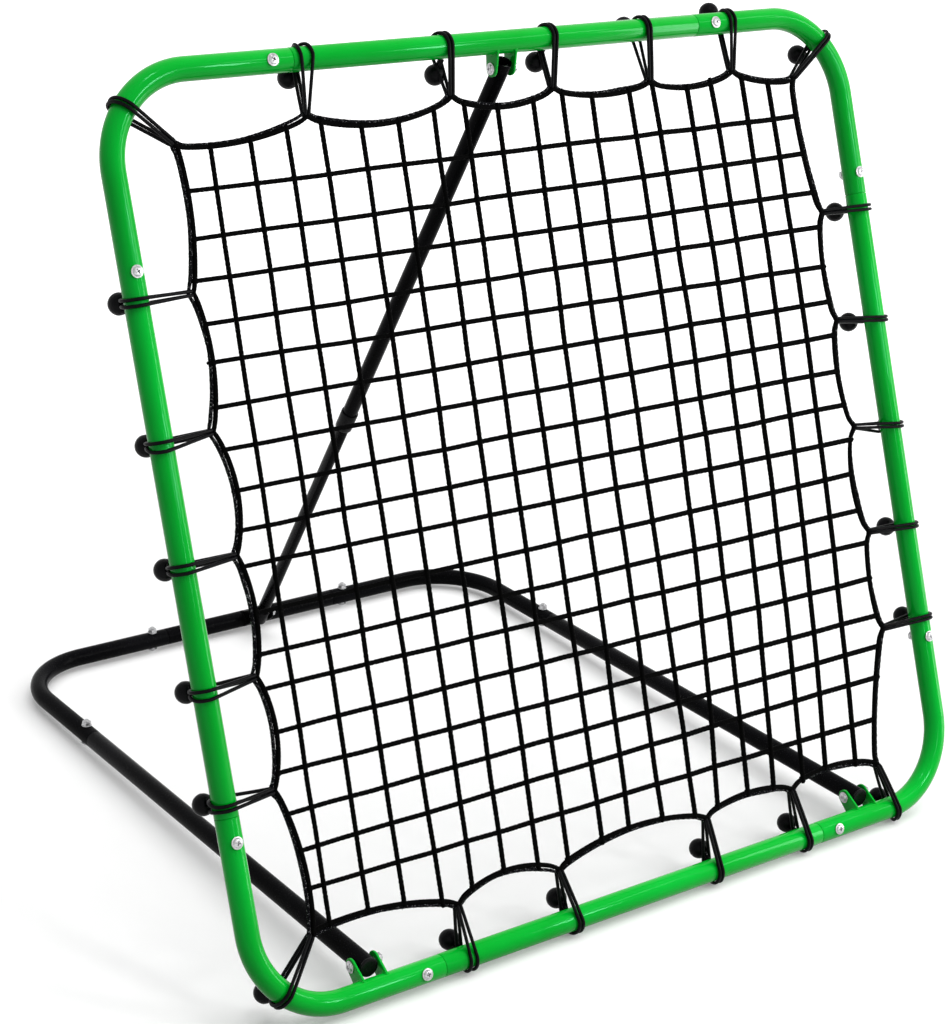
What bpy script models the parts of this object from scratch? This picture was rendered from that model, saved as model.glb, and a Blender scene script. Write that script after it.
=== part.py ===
"""A square rebounder net: a leaning tube frame that holds a bungee-hung net, on a U-shaped tube base.

Metres, +Z up. The net faces -Y. The origin is on the floor, midway between the bottom tube and the
rear crossbar. The front frame turns about the two leg bolts, and a telescopic strut behind it sets
how far it leans.
"""

import math

import bmesh
import bpy
from mathutils import Matrix, Vector

# General fits
GAP = 0.0003
TUBE_SIDES = 10
BEND_STEPS = 5

# Front frame, between tube centres
FRAME_WIDTH = 0.975
FRAME_HEIGHT = 0.950
FRAME_OD = 0.0254
FRAME_WALL = 0.0012
FRAME_BEND = 0.095
FRAME_SEAM = 0.216
FRAME_BOLT = 0.191
FRAME_TILT = math.radians(21.7)

# U-shaped base
BASE_OD = 0.022
BASE_WALL = 0.0012
BASE_BEND = 0.095
BASE_SEAM = 0.222
BASE_BOLT = 0.202
LEG_INSET = 0.1345
LEG_REACH = 0.8145
LEG_OVERHANG = 0.009
SPIGOT_LENGTH = 0.036

# Two-ear brackets, with each pivot's place from the centre of the tube that carries it
EAR_THICKNESS = 0.0025
EAR_TIP_RADIUS = 0.009
EAR_STEPS = 5
LEG_EAR_GAP = 0.026
LEG_PIVOT_BACK = 0.0165
LEG_PIVOT_RISE = 0.0253
STRUT_EAR_GAP = 0.022
TOP_PIVOT_BACK = 0.009
TOP_PIVOT_DROP = 0.0266
REAR_PIVOT_FORWARD = 0.031
REAR_PIVOT_RISE = 0.017

# Telescopic strut
STRUT_OD = 0.019
STRUT_WALL = 0.0011
STRUT_LENGTH = 0.576
STRUT_OVERHANG = 0.009
INNER_OD = 0.016
INNER_WALL = 0.0012
INNER_INSERTED = 0.150
INNER_OVERHANG = 0.010
COLLAR_LENGTH = 0.028
COLLAR_WALL = 0.0010
COLLAR_LIP = 0.0025
STRUT_CAP_LENGTH = 0.022
STRUT_CAP_WALL = 0.0010
STRUT_CAP_END = 0.0022
PIVOT_PLAY_ALONG = 0.0036
PIVOT_PLAY_ACROSS = 0.0025
SLOT_SIDES = 12

# Leg end plugs
PLUG_FLANGE = 0.0025
PLUG_STEM = 0.0042

# Bolts, with a flanged pan head at one end and a nut at the other
BOLT_DIAMETER = 0.006
BOLT_SIDES = 8
HEAD_RADIUS = 0.0066
HEAD_CROWN_RADIUS = 0.0042
HEAD_RIM = 0.0014
HEAD_HEIGHT = 0.0032
NUT_RADIUS = 0.0058
NUT_SIDES = 6
NUT_HEIGHT = 0.005
BOLT_PROUD = 0.0025

# Net: a flat mesh inside a border rope
NET_THICKNESS = 0.003
NET_EDGE = 0.004
NET_STRAND = 0.0032
NET_PITCH = 0.0515
ROPE_DIAMETER = 0.006
ROPE_SIDES = 5
SPAN_STEPS = 4
HOOK_LIFT = 0.008
CORNER_LIFT = 0.014

# Ball bungees: a flat doubled cord round the tube and the rope, with a ball where the cord ends meet
CORD_THICKNESS = 0.004
LOOP_WIDTH_AT_TUBE = 0.014
LOOP_WIDTH_AT_ROPE = 0.007
LOOP_SLACK = 0.001
CORNER_SLACK = 0.0008
CORNER_HOOK_SLACK = 0.008
TUBE_WRAP_STEPS = 6
ROPE_WRAP_STEPS = 3
BALL_RADIUS = 0.0115
BALL_SIDES = 8
BALL_RINGS = 3
NECK_RADIUS = 0.0045
NECK_LENGTH = 0.004

# How far in from the tube centres the rope's hooks lie
INSET_TOP = 0.057
INSET_SIDE = 0.059
INSET_BOTTOM = 0.056

# Bungees on straight tubes: where the next two are measured from, place on the tube, place of the
# hook, ball's angle behind the tube in degrees from the net's side, how far the ball lies
# anticlockwise along the tube, and the rope's sag up to the next hook clockwise
TOP_BUNGEES = (
    ("left", 0.2350, 0.2265, 64, 0.004, 0.0125),
    ("middle", -0.0740, -0.0780, 36, 0.007, 0.0080),
    ("middle", 0.0640, 0.0580, 48, 0.005, 0.0065),
    ("right", -0.2875, -0.2915, 123, 0.003, 0.0080),
    ("right", -0.1595, -0.1675, 130, 0.004, 0.0045),
)
RIGHT_BUNGEES = (
    ("top", -0.2350, -0.2320, 76, 0.002, 0.0075),
    ("middle", 0.1060, 0.1140, 62, 0.002, 0.0100),
    ("middle", -0.0240, -0.0150, 127, 0.000, 0.0125),
    ("bottom", 0.3280, 0.3320, 89, 0.000, 0.0085),
    ("bottom", 0.2130, 0.2140, 98, 0.002, 0.0060),
)
BOTTOM_BUNGEES = (
    ("right", -0.2395, -0.2445, 62, 0.005, 0.0125),
    ("middle", 0.1120, 0.1090, 48, 0.001, 0.0170),
    ("middle", -0.0960, -0.1020, 50, 0.002, 0.0150),
    ("left", 0.2545, 0.2495, 63, -0.004, 0.0095),
)
LEFT_BUNGEES = (
    ("bottom", 0.2340, 0.2270, 102, 0.006, 0.0080),
    ("bottom", 0.3480, 0.3420, 97, 0.006, 0.0080),
    ("middle", -0.0030, -0.0080, 96, 0.006, 0.0110),
    ("middle", 0.1200, 0.1180, 90, 0.005, 0.0085),
    ("top", -0.2220, -0.2230, 94, -0.004, 0.0060),
)
# Bungees on the bends: angle round the bend, hook's inset from the side and from the top or bottom
# tube, then as above
CORNER_BUNGEES = {
    "top_left": (141, 0.0715, 0.073, 70, 0.000, 0.0065),
    "top_right": (37, 0.0715, 0.069, 70, 0.006, 0.0065),
    "bottom_right": (280, 0.1035, 0.054, 73, -0.003, 0.0125),
    "bottom_left": (230, 0.0695, 0.074, 106, -0.008, 0.0080),
}

# Colour, roughness and metallic value of each finish
FINISHES = {
    "green_powder_coat": ((0.004, 0.30, 0.045), 0.28, 0.0),
    "black_powder_coat": ((0.012, 0.012, 0.013), 0.45, 0.0),
    "zinc_plate": ((0.78, 0.78, 0.80), 0.25, 1.0),
    "black_plastic": ((0.010, 0.010, 0.010), 0.35, 0.0),
    "net_cord": ((0.008, 0.008, 0.008), 0.75, 0.0),
    "border_rope": ((0.014, 0.014, 0.016), 0.85, 0.0),
    "bungee_rubber": ((0.010, 0.010, 0.011), 0.60, 0.0),
}

SMOOTH_ANGLE = math.radians(40)
HALF_WIDTH = FRAME_WIDTH / 2
LEG_SPACING = FRAME_WIDTH - 2 * LEG_INSET
X_AXIS = Vector((1, 0, 0))
Y_AXIS = Vector((0, 1, 0))
Z_AXIS = Vector((0, 0, 1))


def clear_scene():
    for obj in list(bpy.data.objects):
        bpy.data.objects.remove(obj)


def make_finishes():
    for name, (colour, roughness, metallic) in FINISHES.items():
        material = bpy.data.materials.new(name)
        material.use_nodes = True
        shader = material.node_tree.nodes["Principled BSDF"]
        shader.inputs["Base Color"].default_value = (*colour, 1.0)
        shader.inputs["Roughness"].default_value = roughness
        shader.inputs["Metallic"].default_value = metallic


def empty(name, parent=None, location=(0, 0, 0), turn_x=0.0):
    """A turning or sliding frame: an empty, turned about X only."""
    obj = placed(name, None, parent, location)
    obj.rotation_euler = (turn_x, 0, 0)
    return obj


def mesh_from(name, bm):
    bmesh.ops.recalc_face_normals(bm, faces=bm.faces)
    mesh = bpy.data.meshes.new(name)
    bm.to_mesh(mesh)
    bm.free()
    mesh.shade_smooth()
    mesh.set_sharp_from_angle(angle=SMOOTH_ANGLE)
    return mesh


def placed(name, mesh, parent, location):
    obj = bpy.data.objects.new(name, mesh)
    bpy.context.scene.collection.objects.link(obj)
    obj.parent = parent
    obj.location = location
    return obj


def piece(name, mesh, finish, parent, location=(0, 0, 0), rotation=(0, 0, 0)):
    if not mesh.materials:
        mesh.materials.append(bpy.data.materials[finish])
    obj = placed(name, mesh, parent, location)
    obj.rotation_euler = rotation
    return obj


def helper(name, mesh, parent=None, location=(0, 0, 0)):
    """A body that only shapes others."""
    obj = placed(name, mesh, parent, location)
    obj.hide_render = True
    obj.display_type = "WIRE"
    return obj


def combine(obj, other, operation):
    modifier = obj.modifiers.new(operation.lower() + " " + other.name, "BOOLEAN")
    modifier.operation = operation
    modifier.solver = "EXACT"
    modifier.object = other


def directions_at(points, index, closed):
    """Unit directions into and out of a route's point, past any point at the same place."""
    count = len(points)
    here = points[index]
    before = after = None
    for step in range(1, count):
        back, front = index - step, index + step
        if before is None and (closed or back >= 0) and (points[back] - here).length > 1e-7:
            before = (here - points[back]).normalized()
        if after is None and (closed or front < count):
            ahead = points[front % count] - here
            after = ahead.normalized() if ahead.length > 1e-7 else None
    return before or after, after or before


def sweep(name, route, radii, sides, normal, closed=False):
    """A faceted tube or turned piece along a flat route, mitred at each bend.

    normal is square to the route's plane. A flat of the facets faces it.
    """
    bm = bmesh.new()
    rings = []
    for index, (point, radius) in enumerate(zip(route, radii)):
        into, out = directions_at(route, index, closed)
        along = (into + out).normalized()
        across = normal.cross(along)
        mitre = 1 / max(along.dot(out), 0.2)
        ring = []
        for side in range(sides):
            angle = math.tau * (side + 0.5) / sides
            offset = across * (math.cos(angle) * mitre) + normal * math.sin(angle)
            ring.append(bm.verts.new(point + offset * radius))
        rings.append(ring)
    joined = list(zip(rings, rings[1:]))
    if closed:
        joined.append((rings[-1], rings[0]))
    else:
        bm.faces.new(rings[0])
        bm.faces.new(rings[-1])
    for first, second in joined:
        for side in range(sides):
            after = (side + 1) % sides
            bm.faces.new((first[side], first[after], second[after], second[side]))
    return mesh_from(name, bm)


def rod(name, start, end, radius, sides, normal):
    return sweep(name, (start, end), (radius, radius), sides, normal)


def prism(name, outline, axis, low, high):
    """A flat outline, given as points, raised from low to high along an axis."""
    bm = bmesh.new()
    face = bm.faces.new([bm.verts.new(point + axis * low) for point in outline])
    raised = bmesh.ops.extrude_face_region(bm, geom=[face])["geom"]
    moved = [item for item in raised if isinstance(item, bmesh.types.BMVert)]
    bmesh.ops.translate(bm, verts=moved, vec=axis * (high - low))
    return mesh_from(name, bm)


def baked(obj):
    """The mesh of an object with its modifiers worked in, free to be shared."""
    bpy.context.view_layer.update()
    graph = bpy.context.evaluated_depsgraph_get()
    return bpy.data.meshes.new_from_object(obj.evaluated_get(graph))


# Bolts

def bolt_mesh(name, grip):
    """A bolt along Z with its head's seat at half the grip above the origin and its nut as far below."""
    seat = grip / 2
    tail = -seat - NUT_HEIGHT - BOLT_PROUD
    shank = BOLT_DIAMETER / 2
    profile = (
        (seat + HEAD_HEIGHT, HEAD_CROWN_RADIUS),
        (seat + HEAD_RIM, HEAD_RADIUS),
        (seat, HEAD_RADIUS),
        (seat, shank),
        (tail, shank),
    )
    route = [Z_AXIS * height for height, _ in profile]
    radii = [radius for _, radius in profile]
    blank = helper(name + "_blank", sweep(name, route, radii, BOLT_SIDES, X_AXIS))
    nut_top = Z_AXIS * -seat
    nut_bottom = nut_top - Z_AXIS * NUT_HEIGHT
    nut = rod(name + "_nut", nut_top, nut_bottom, NUT_RADIUS, NUT_SIDES, X_AXIS)
    combine(blank, helper(name + "_nut", nut), "UNION")
    return baked(blank)


def bolt_hole(name, parent, location, direction, length):
    """A cutter for one bolt's holes, in whatever it passes through."""
    radius = BOLT_DIAMETER / 2 + GAP
    normal = Z_AXIS if abs(direction.dot(Z_AXIS)) < 0.5 else X_AXIS
    half = direction * (length / 2)
    return helper(name, rod(name, -half, half, radius, BOLT_SIDES, normal), parent, location)


def pivot_bolt(name, parent, location, ear_gap):
    """A bolt along X through both ears of a bracket, with its hole cutter."""
    grip = ear_gap + 2 * EAR_THICKNESS + 2 * GAP
    piece(name, bolt_mesh(name, grip), "zinc_plate", parent, location, (0, -math.pi / 2, 0))
    return bolt_hole(name + "_hole", parent, location, X_AXIS, grip + 0.01)


# Tubes

def corner_route(corner, along, down, bend, seam):
    """From the seam beside the corner, round the bend, to the seam below it. Both arms are unit."""
    centre = corner + along * bend + down * bend
    route = [corner + along * seam]
    for step in range(BEND_STEPS + 1):
        angle = math.pi / 2 * step / BEND_STEPS
        inward = down * math.cos(angle) + along * math.sin(angle)
        route.append(centre - inward * bend)
    route.append(corner + down * seam)
    return route


def spigot_route(start, end, seam_start, seam_end):
    """Places of the five parts of a straight tube whose ends may fit inside its neighbours."""
    along = (end - start).normalized()
    route = [start, end]
    if seam_end:
        route[1:1] = [end - along * seam_end] * 2
    if seam_start:
        route[1:1] = [start + along * seam_start] * 2
    return route


def straight_tube(name, start, end, outer, wall, normal, reduced):
    """The solid outside of a straight tube, and its bore. reduced says which ends are swaged."""
    spigot = outer - wall - GAP
    route = spigot_route(start, end, SPIGOT_LENGTH * reduced[0], SPIGOT_LENGTH * reduced[1])
    radii = [outer] * len(route)
    if reduced[0]:
        radii[:2] = [spigot] * 2
    if reduced[1]:
        radii[-2:] = [spigot] * 2
    along = (end - start).normalized() * 0.01
    bore_radius = min(radii) - wall
    bore = rod(name + "_bore", start - along, end + along, bore_radius, TUBE_SIDES, normal)
    return sweep(name, route, radii, TUBE_SIDES, normal), bore


def corner_tube(name, route, outer, wall, normal):
    body = sweep(name, route, [outer] * len(route), TUBE_SIDES, normal)
    first = (route[0] - route[1]).normalized() * 0.01
    last = (route[-1] - route[-2]).normalized() * 0.01
    longer = [route[0] + first, *route[1:-1], route[-1] + last]
    radii = [outer - wall] * len(longer)
    return body, sweep(name + "_bore", longer, radii, TUBE_SIDES, normal)


def hollow(name, meshes, finish, parent, added, cut):
    """A tube with its ears joined on, then bored, then drilled."""
    body, bore = meshes
    tube = piece(name, body, finish, parent)
    for other in added:
        combine(tube, other, "UNION")
    combine(tube, helper(name + "_bore", bore, parent), "DIFFERENCE")
    for other in cut:
        combine(tube, other, "DIFFERENCE")


def ears(name, parent, centre, pivot, root_radius, gap):
    """Two plates square to X, from a tube's centre out round a pivot. Places are (y, z) offsets."""
    reach = Vector((0, pivot[0], pivot[1]))
    along = reach.normalized()
    across = X_AXIS.cross(along)
    outline = []
    for step in range(EAR_STEPS + 1):
        angle = math.pi * (step / EAR_STEPS - 0.5)
        rim = along * math.cos(angle) + across * math.sin(angle)
        outline.append(reach + rim * EAR_TIP_RADIUS)
    root = root_radius * 0.93
    outline += [across * root, across * -root]
    made = []
    for side, low in (("left", -gap / 2 - EAR_THICKNESS), ("right", gap / 2)):
        label = f"{name}_{side}_ear"
        plate = prism(label, outline, X_AXIS, low, low + EAR_THICKNESS)
        made.append(helper(label, plate, parent, centre))
    return made


# Front frame

def frame_corner_point(side, end):
    x = HALF_WIDTH * (1 if side == "right" else -1)
    return Vector((x, 0, FRAME_HEIGHT if end == "top" else 0))


def make_front_frame(plane):
    """Four bends and four straight tubes in the plane's X and Z, bolted from front to back."""
    outer = FRAME_OD / 2
    holes = {}
    shared = bolt_mesh("frame_bolt", FRAME_OD + 2 * GAP)
    for end in ("top", "bottom"):
        for side in ("left", "right"):
            corner = frame_corner_point(side, end)
            along = X_AXIS if side == "left" else -X_AXIS
            inward = -Z_AXIS if end == "top" else Z_AXIS
            for arm, way in (("across", along), ("upright", inward)):
                label = f"frame_bolt_{end}_{side}_{arm}"
                place = corner + way * FRAME_BOLT
                piece(label, shared, "zinc_plate", plane, place, (math.pi / 2, 0, 0))
                holes[end, side, arm] = bolt_hole(label + "_hole", plane, place, Y_AXIS, 0.04)
            added, cut = [], [holes[end, side, "across"], holes[end, side, "upright"]]
            if end == "bottom":
                foot = Vector((math.copysign(LEG_SPACING / 2, corner.x), 0, 0))
                pivot = (LEG_PIVOT_BACK, LEG_PIVOT_RISE)
                added = ears(f"leg_{side}", plane, foot, pivot, outer, LEG_EAR_GAP)
                pin = foot + Vector((0, *pivot))
                cut.append(pivot_bolt(f"pivot_bolt_{side}_leg", plane, pin, LEG_EAR_GAP))
            route = corner_route(corner, along, inward, FRAME_BEND, FRAME_SEAM)
            name = f"frame_corner_{end}_{side}"
            meshes = corner_tube(name, route, outer, FRAME_WALL, Y_AXIS)
            hollow(name, meshes, "green_powder_coat", plane, added, cut)
    top_pin = Vector((0, TOP_PIVOT_BACK, FRAME_HEIGHT - TOP_PIVOT_DROP))
    top_hole = pivot_bolt("pivot_bolt_strut_top", plane, top_pin, STRUT_EAR_GAP)
    for end in ("top", "bottom"):
        start = frame_corner_point("left", end) + X_AXIS * (FRAME_SEAM - SPIGOT_LENGTH + GAP)
        finish = frame_corner_point("right", end) - X_AXIS * (FRAME_SEAM - SPIGOT_LENGTH + GAP)
        name = f"frame_tube_{end}"
        meshes = straight_tube(name, start, finish, outer, FRAME_WALL, Y_AXIS, (1, 1))
        added, cut = [], [holes[end, "left", "across"], holes[end, "right", "across"]]
        if end == "top":
            centre = Vector((0, 0, FRAME_HEIGHT))
            pivot = (TOP_PIVOT_BACK, -TOP_PIVOT_DROP)
            added = ears("strut_top", plane, centre, pivot, outer, STRUT_EAR_GAP)
            cut.append(top_hole)
        hollow(name, meshes, "green_powder_coat", plane, added, cut)
    for side in ("left", "right"):
        start = frame_corner_point(side, "bottom") + Z_AXIS * (FRAME_SEAM - SPIGOT_LENGTH + GAP)
        finish = frame_corner_point(side, "top") - Z_AXIS * (FRAME_SEAM - SPIGOT_LENGTH + GAP)
        name = f"frame_tube_{side}"
        meshes = straight_tube(name, start, finish, outer, FRAME_WALL, Y_AXIS, (1, 1))
        cut = [holes["bottom", side, "upright"], holes["top", side, "upright"]]
        hollow(name, meshes, "green_powder_coat", plane, (), cut)
    return top_hole


# Bungees

def anchor(name, upright):
    """The place along an upright or a level tube that some bungees are measured from."""
    if name == "middle":
        return FRAME_HEIGHT / 2 if upright else 0.0
    return {"left": -HALF_WIDTH, "right": HALF_WIDTH, "bottom": 0.0, "top": FRAME_HEIGHT}[name]


def hooks():
    """Every bungee clockwise from the top left corner, as the front shows them.

    Each is a dictionary: name, tube point, hook point, direction to the net, the ball's angle and
    shift along the tube, and sag.
    """
    found = []

    def on_tube(label, rows, upright, tube_line, inset, inward):
        for number, (origin, place, hook, *ball, sag) in enumerate(rows, 1):
            start = anchor(origin, upright)
            along = Z_AXIS if upright else X_AXIS
            found.append(
                {
                    "name": f"bungee_{label}_{number}",
                    "tube": tube_line + along * (start + place),
                    "hook": tube_line + along * (start + hook) + inward * inset,
                    "inward": inward,
                    "ball": ball,
                    "sag": sag,
                    "corner": False,
                }
            )

    def on_bend(end, side):
        angle, inset_x, inset_z, *ball, sag = CORNER_BUNGEES[f"{end}_{side}"]
        corner = frame_corner_point(side, end)
        sign = Vector((-1 if side == "right" else 1, 0, -1 if end == "top" else 1))
        out = Vector((math.cos(math.radians(angle)), 0, math.sin(math.radians(angle))))
        found.append(
            {
                "name": f"bungee_corner_{end}_{side}",
                "tube": corner + sign * FRAME_BEND + out * FRAME_BEND,
                "hook": corner + Vector((sign.x * inset_x, 0, sign.z * inset_z)),
                "inward": -out,
                "ball": ball,
                "sag": sag,
                "corner": True,
            }
        )

    on_bend("top", "left")
    on_tube("top", TOP_BUNGEES, False, Z_AXIS * FRAME_HEIGHT, INSET_TOP, -Z_AXIS)
    on_bend("top", "right")
    on_tube("right", RIGHT_BUNGEES, True, X_AXIS * HALF_WIDTH, INSET_SIDE, -X_AXIS)
    on_bend("bottom", "right")
    on_tube("bottom", BOTTOM_BUNGEES, False, Vector(), INSET_BOTTOM, Z_AXIS)
    on_bend("bottom", "left")
    on_tube("left", LEFT_BUNGEES, True, X_AXIS * -HALF_WIDTH, INSET_SIDE, X_AXIS)
    return found


def loop_radii(corner):
    """Inner radii of a loop round the tube and round the rope, and how far past the hook it hangs."""
    tube = FRAME_OD / 2 + (CORNER_SLACK if corner else GAP)
    rope = ROPE_DIAMETER / 2 + GAP + LOOP_SLACK
    return tube, rope, CORNER_HOOK_SLACK if corner else LOOP_SLACK


def loop_outline(reach, corner, outward):
    """A belt round the tube, at zero, and the rope, at reach, as (towards the net, back) pairs."""
    tube, rope, hang = loop_radii(corner)
    centre = reach + hang
    tangent = math.acos((tube - rope) / centre)
    turns = (
        (0.0, tube + outward, tangent, math.tau - 2 * tangent, TUBE_WRAP_STEPS),
        (centre, rope + outward, -tangent, 2 * tangent, ROPE_WRAP_STEPS),
    )
    outline = []
    for middle, radius, start, turn, steps in turns:
        step = turn / steps
        for count in range(steps):
            angle = start + step * (count + 0.5)
            across = radius / math.cos(step / 2)
            towards = middle + across * math.cos(angle)
            outline.append((towards, across * math.sin(angle)))
    return outline


def loop_mesh(name, bungee):
    reach = (bungee["hook"] - bungee["tube"]).dot(bungee["inward"])
    sideways = Y_AXIS.cross(bungee["inward"])
    skew = (bungee["hook"] - bungee["tube"]).dot(sideways)
    bm = bmesh.new()
    rows = []
    for outward, edge in ((0.0, -1), (0.0, 1), (CORD_THICKNESS, 1), (CORD_THICKNESS, -1)):
        row = []
        for towards, back in loop_outline(reach, bungee["corner"], outward):
            share = max(towards / reach, 0.0)
            taper = (LOOP_WIDTH_AT_ROPE - LOOP_WIDTH_AT_TUBE) * min(share, 1.0)
            width = LOOP_WIDTH_AT_TUBE + taper
            aside = skew * share + edge * width / 2
            row.append(
                bm.verts.new(bungee["inward"] * towards + Y_AXIS * back + sideways * aside)
            )
        rows.append(row)
    count = len(rows[0])
    for first, second in zip(rows, rows[1:] + rows[:1]):
        for index in range(count):
            after = (index + 1) % count
            bm.faces.new((first[index], first[after], second[after], second[index]))
    return mesh_from(name, bm)


def ball_mesh(name, bungee):
    """The ball and its neck of cord, turned about a line from the tube's centre."""
    tube, _, _ = loop_radii(bungee["corner"])
    angle, shift = bungee["ball"]
    angle = math.radians(angle)
    around = bungee["inward"] * math.cos(angle) + Y_AXIS * math.sin(angle)
    sideways = Y_AXIS.cross(bungee["inward"])
    surface = tube + CORD_THICKNESS
    centre = around * (surface + NECK_LENGTH + BALL_RADIUS) + sideways * shift
    out = centre.normalized()
    root = surface - CORD_THICKNESS / 2
    opening = math.asin(NECK_RADIUS / BALL_RADIUS)
    route, radii = [out * root], [NECK_RADIUS]
    for ring in range(BALL_RINGS + 2):
        turn = opening + (math.pi - 2 * opening) * ring / (BALL_RINGS + 1)
        route.append(centre - out * (BALL_RADIUS * math.cos(turn)))
        radii.append(BALL_RADIUS * math.sin(turn))
    return sweep(name, route, radii, BALL_SIDES, sideways.cross(out).normalized())


def make_bungee(bungee, plane):
    name = bungee["name"]
    loop = piece(name, loop_mesh(name, bungee), "bungee_rubber", plane, bungee["tube"])
    ball = helper(name + "_ball", ball_mesh(name + "_ball", bungee), plane, bungee["tube"])
    combine(loop, ball, "UNION")


def lowest_loop_drop():
    """How far below the bottom tube's centre the loops under it reach, with the frame leaning."""
    outline = loop_outline(INSET_BOTTOM, False, CORD_THICKNESS)
    return -min(up * math.cos(FRAME_TILT) - back * math.sin(FRAME_TILT) for up, back in outline)


# Net and its border rope

def net_spans(found):
    """Each stretch of border between two bungees, with its inward direction."""
    spans = []
    for here, after in zip(found, found[1:] + found[:1]):
        along = (after["hook"] - here["hook"]).normalized()
        spans.append((here, after, Y_AXIS.cross(along)))
    return spans


def border(found, offset, lifted):
    """The scalloped border moved inward by offset, and if lifted, clear of each loop's end."""

    def lift(bungee):
        if not lifted:
            return 0.0
        return CORNER_LIFT if bungee["corner"] else HOOK_LIFT

    spans = net_spans(found)
    points = []
    for index, (here, after, inward) in enumerate(spans):
        before = spans[index - 1][2]
        mitre = (before + inward) / (1 + before.dot(inward))
        points.append(here["hook"] + mitre * (offset + lift(here)))
        for step in range(1, SPAN_STEPS):
            share = step / SPAN_STEPS
            bow = 4 * share * (1 - share)
            nearest = here if share < 0.5 else after
            inset = offset + here["sag"] * bow + lift(nearest) * (1 - bow)
            points.append(here["hook"].lerp(after["hook"], share) + inward * inset)
    return points


def box(bm, low, high):
    size = high - low
    matrix = Matrix.Translation((low + high) / 2) @ Matrix.Diagonal((*size, 1.0))
    bmesh.ops.create_cube(bm, size=1.0, matrix=matrix)


def strands(low, high, net_span):
    """Places of the strands over a span of the net, centred, and of the two frame tubes past them."""
    count = int(net_span / NET_PITCH) - 1
    first = (low + high) / 2 - NET_PITCH * (count - 1) / 2
    return [low, *(first + NET_PITCH * index for index in range(count)), high]


def make_net(found, plane):
    clear = ROPE_DIAMETER / 2 + GAP
    half = NET_THICKNESS / 2
    outline = border(found, clear, True)
    net = piece("net", prism("net", outline, Y_AXIS, -half, half), "net_cord", plane)
    inner = border(found, clear + NET_EDGE, True)
    inside = prism("net_inside", inner, Y_AXIS, -2 * half, 2 * half)
    uprights = strands(-HALF_WIDTH, HALF_WIDTH, FRAME_WIDTH - 2 * INSET_SIDE)
    rows = strands(0.0, FRAME_HEIGHT, FRAME_HEIGHT - INSET_TOP - INSET_BOTTOM)
    edge = NET_STRAND / 2
    bm = bmesh.new()
    for left, right in zip(uprights, uprights[1:]):
        for low, high in zip(rows, rows[1:]):
            box(
                bm,
                Vector((left + edge, -3 * half, low + edge)),
                Vector((right - edge, 3 * half, high - edge)),
            )
    gaps = helper("net_gaps", mesh_from("net_gaps", bm), plane)
    combine(gaps, helper("net_inside", inside, plane), "INTERSECT")
    combine(net, gaps, "DIFFERENCE")


def make_rope(found, plane):
    route = border(found, 0.0, False)
    radii = [ROPE_DIAMETER / 2] * len(route)
    mesh = sweep("border_rope", route, radii, ROPE_SIDES, Y_AXIS, closed=True)
    piece("border_rope", mesh, "border_rope", plane)


# Base

def make_base(base, leg_holes, slope):
    """A U of five tubes in the base's X and Y, with its legs' front ends on the pivot line.

    Its bolts are put in from below. The crossbar and its bolts stay level, to stand on their heads.
    """
    outer = BASE_OD / 2
    rear = Vector((0, LEG_REACH, 0))
    level = empty("crossbar_level", base, rear, slope)
    half = LEG_SPACING / 2
    shared = bolt_mesh("base_bolt", BASE_OD + 2 * GAP)
    across_holes = []
    for side, sign in (("left", -1), ("right", 1)):
        corner = Vector((sign * half, LEG_REACH, 0))
        along = X_AXIS * -sign
        holes = []
        for arm, way in (("across", along), ("leg", -Y_AXIS)):
            label = f"base_bolt_{side}_{arm}"
            place = corner + way * BASE_BOLT
            carrier, local = (level, place - rear) if arm == "across" else (base, place)
            piece(label, shared, "zinc_plate", carrier, local, (math.pi, 0, 0))
            holes.append(bolt_hole(label + "_hole", carrier, local, Z_AXIS, 0.04))
        across_holes.append(holes[0])
        route = corner_route(corner, along, -Y_AXIS, BASE_BEND, BASE_SEAM)
        name = f"base_corner_{side}"
        meshes = corner_tube(name, route, outer, BASE_WALL, Z_AXIS)
        hollow(name, meshes, "black_powder_coat", base, (), holes)
        start = Vector((sign * half, -LEG_OVERHANG, 0))
        end = corner - Y_AXIS * (BASE_SEAM - SPIGOT_LENGTH + GAP)
        name = f"base_leg_{side}"
        meshes = straight_tube(name, start, end, outer, BASE_WALL, Z_AXIS, (0, 1))
        hollow(name, meshes, "black_powder_coat", base, (), [holes[1], leg_holes[side]])
        make_leg_plug(f"leg_plug_{side}", start, base)
    make_crossbar(level, across_holes)


def make_leg_plug(name, end, base):
    stem = BASE_OD / 2 - 2 * BASE_WALL - 2 * GAP
    profile = (
        (-PLUG_FLANGE - GAP, BASE_OD / 2 - 0.002),
        (-PLUG_FLANGE * 0.5 - GAP, BASE_OD / 2),
        (-GAP, BASE_OD / 2),
        (-GAP, stem),
        (PLUG_STEM, stem),
    )
    route = [Y_AXIS * place for place, _ in profile]
    radii = [radius for _, radius in profile]
    mesh = sweep(name, route, radii, TUBE_SIDES, Z_AXIS)
    piece(name, mesh, "black_plastic", base, end)


def make_crossbar(level, holes):
    """The rear tube, with the strut's lower ears."""
    half = LEG_SPACING / 2 - (BASE_SEAM - SPIGOT_LENGTH + GAP)
    pivot = (-REAR_PIVOT_FORWARD, REAR_PIVOT_RISE)
    added = ears("strut_rear", level, (0, 0, 0), pivot, BASE_OD / 2, STRUT_EAR_GAP)
    pin = Vector((0, *pivot))
    hole = pivot_bolt("pivot_bolt_strut_rear", level, pin, STRUT_EAR_GAP)
    meshes = straight_tube(
        "base_crossbar", -X_AXIS * half, X_AXIS * half, BASE_OD / 2, BASE_WALL, Z_AXIS, (1, 1)
    )
    hollow("base_crossbar", meshes, "black_powder_coat", level, added, [*holes, hole])


# Strut

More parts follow.
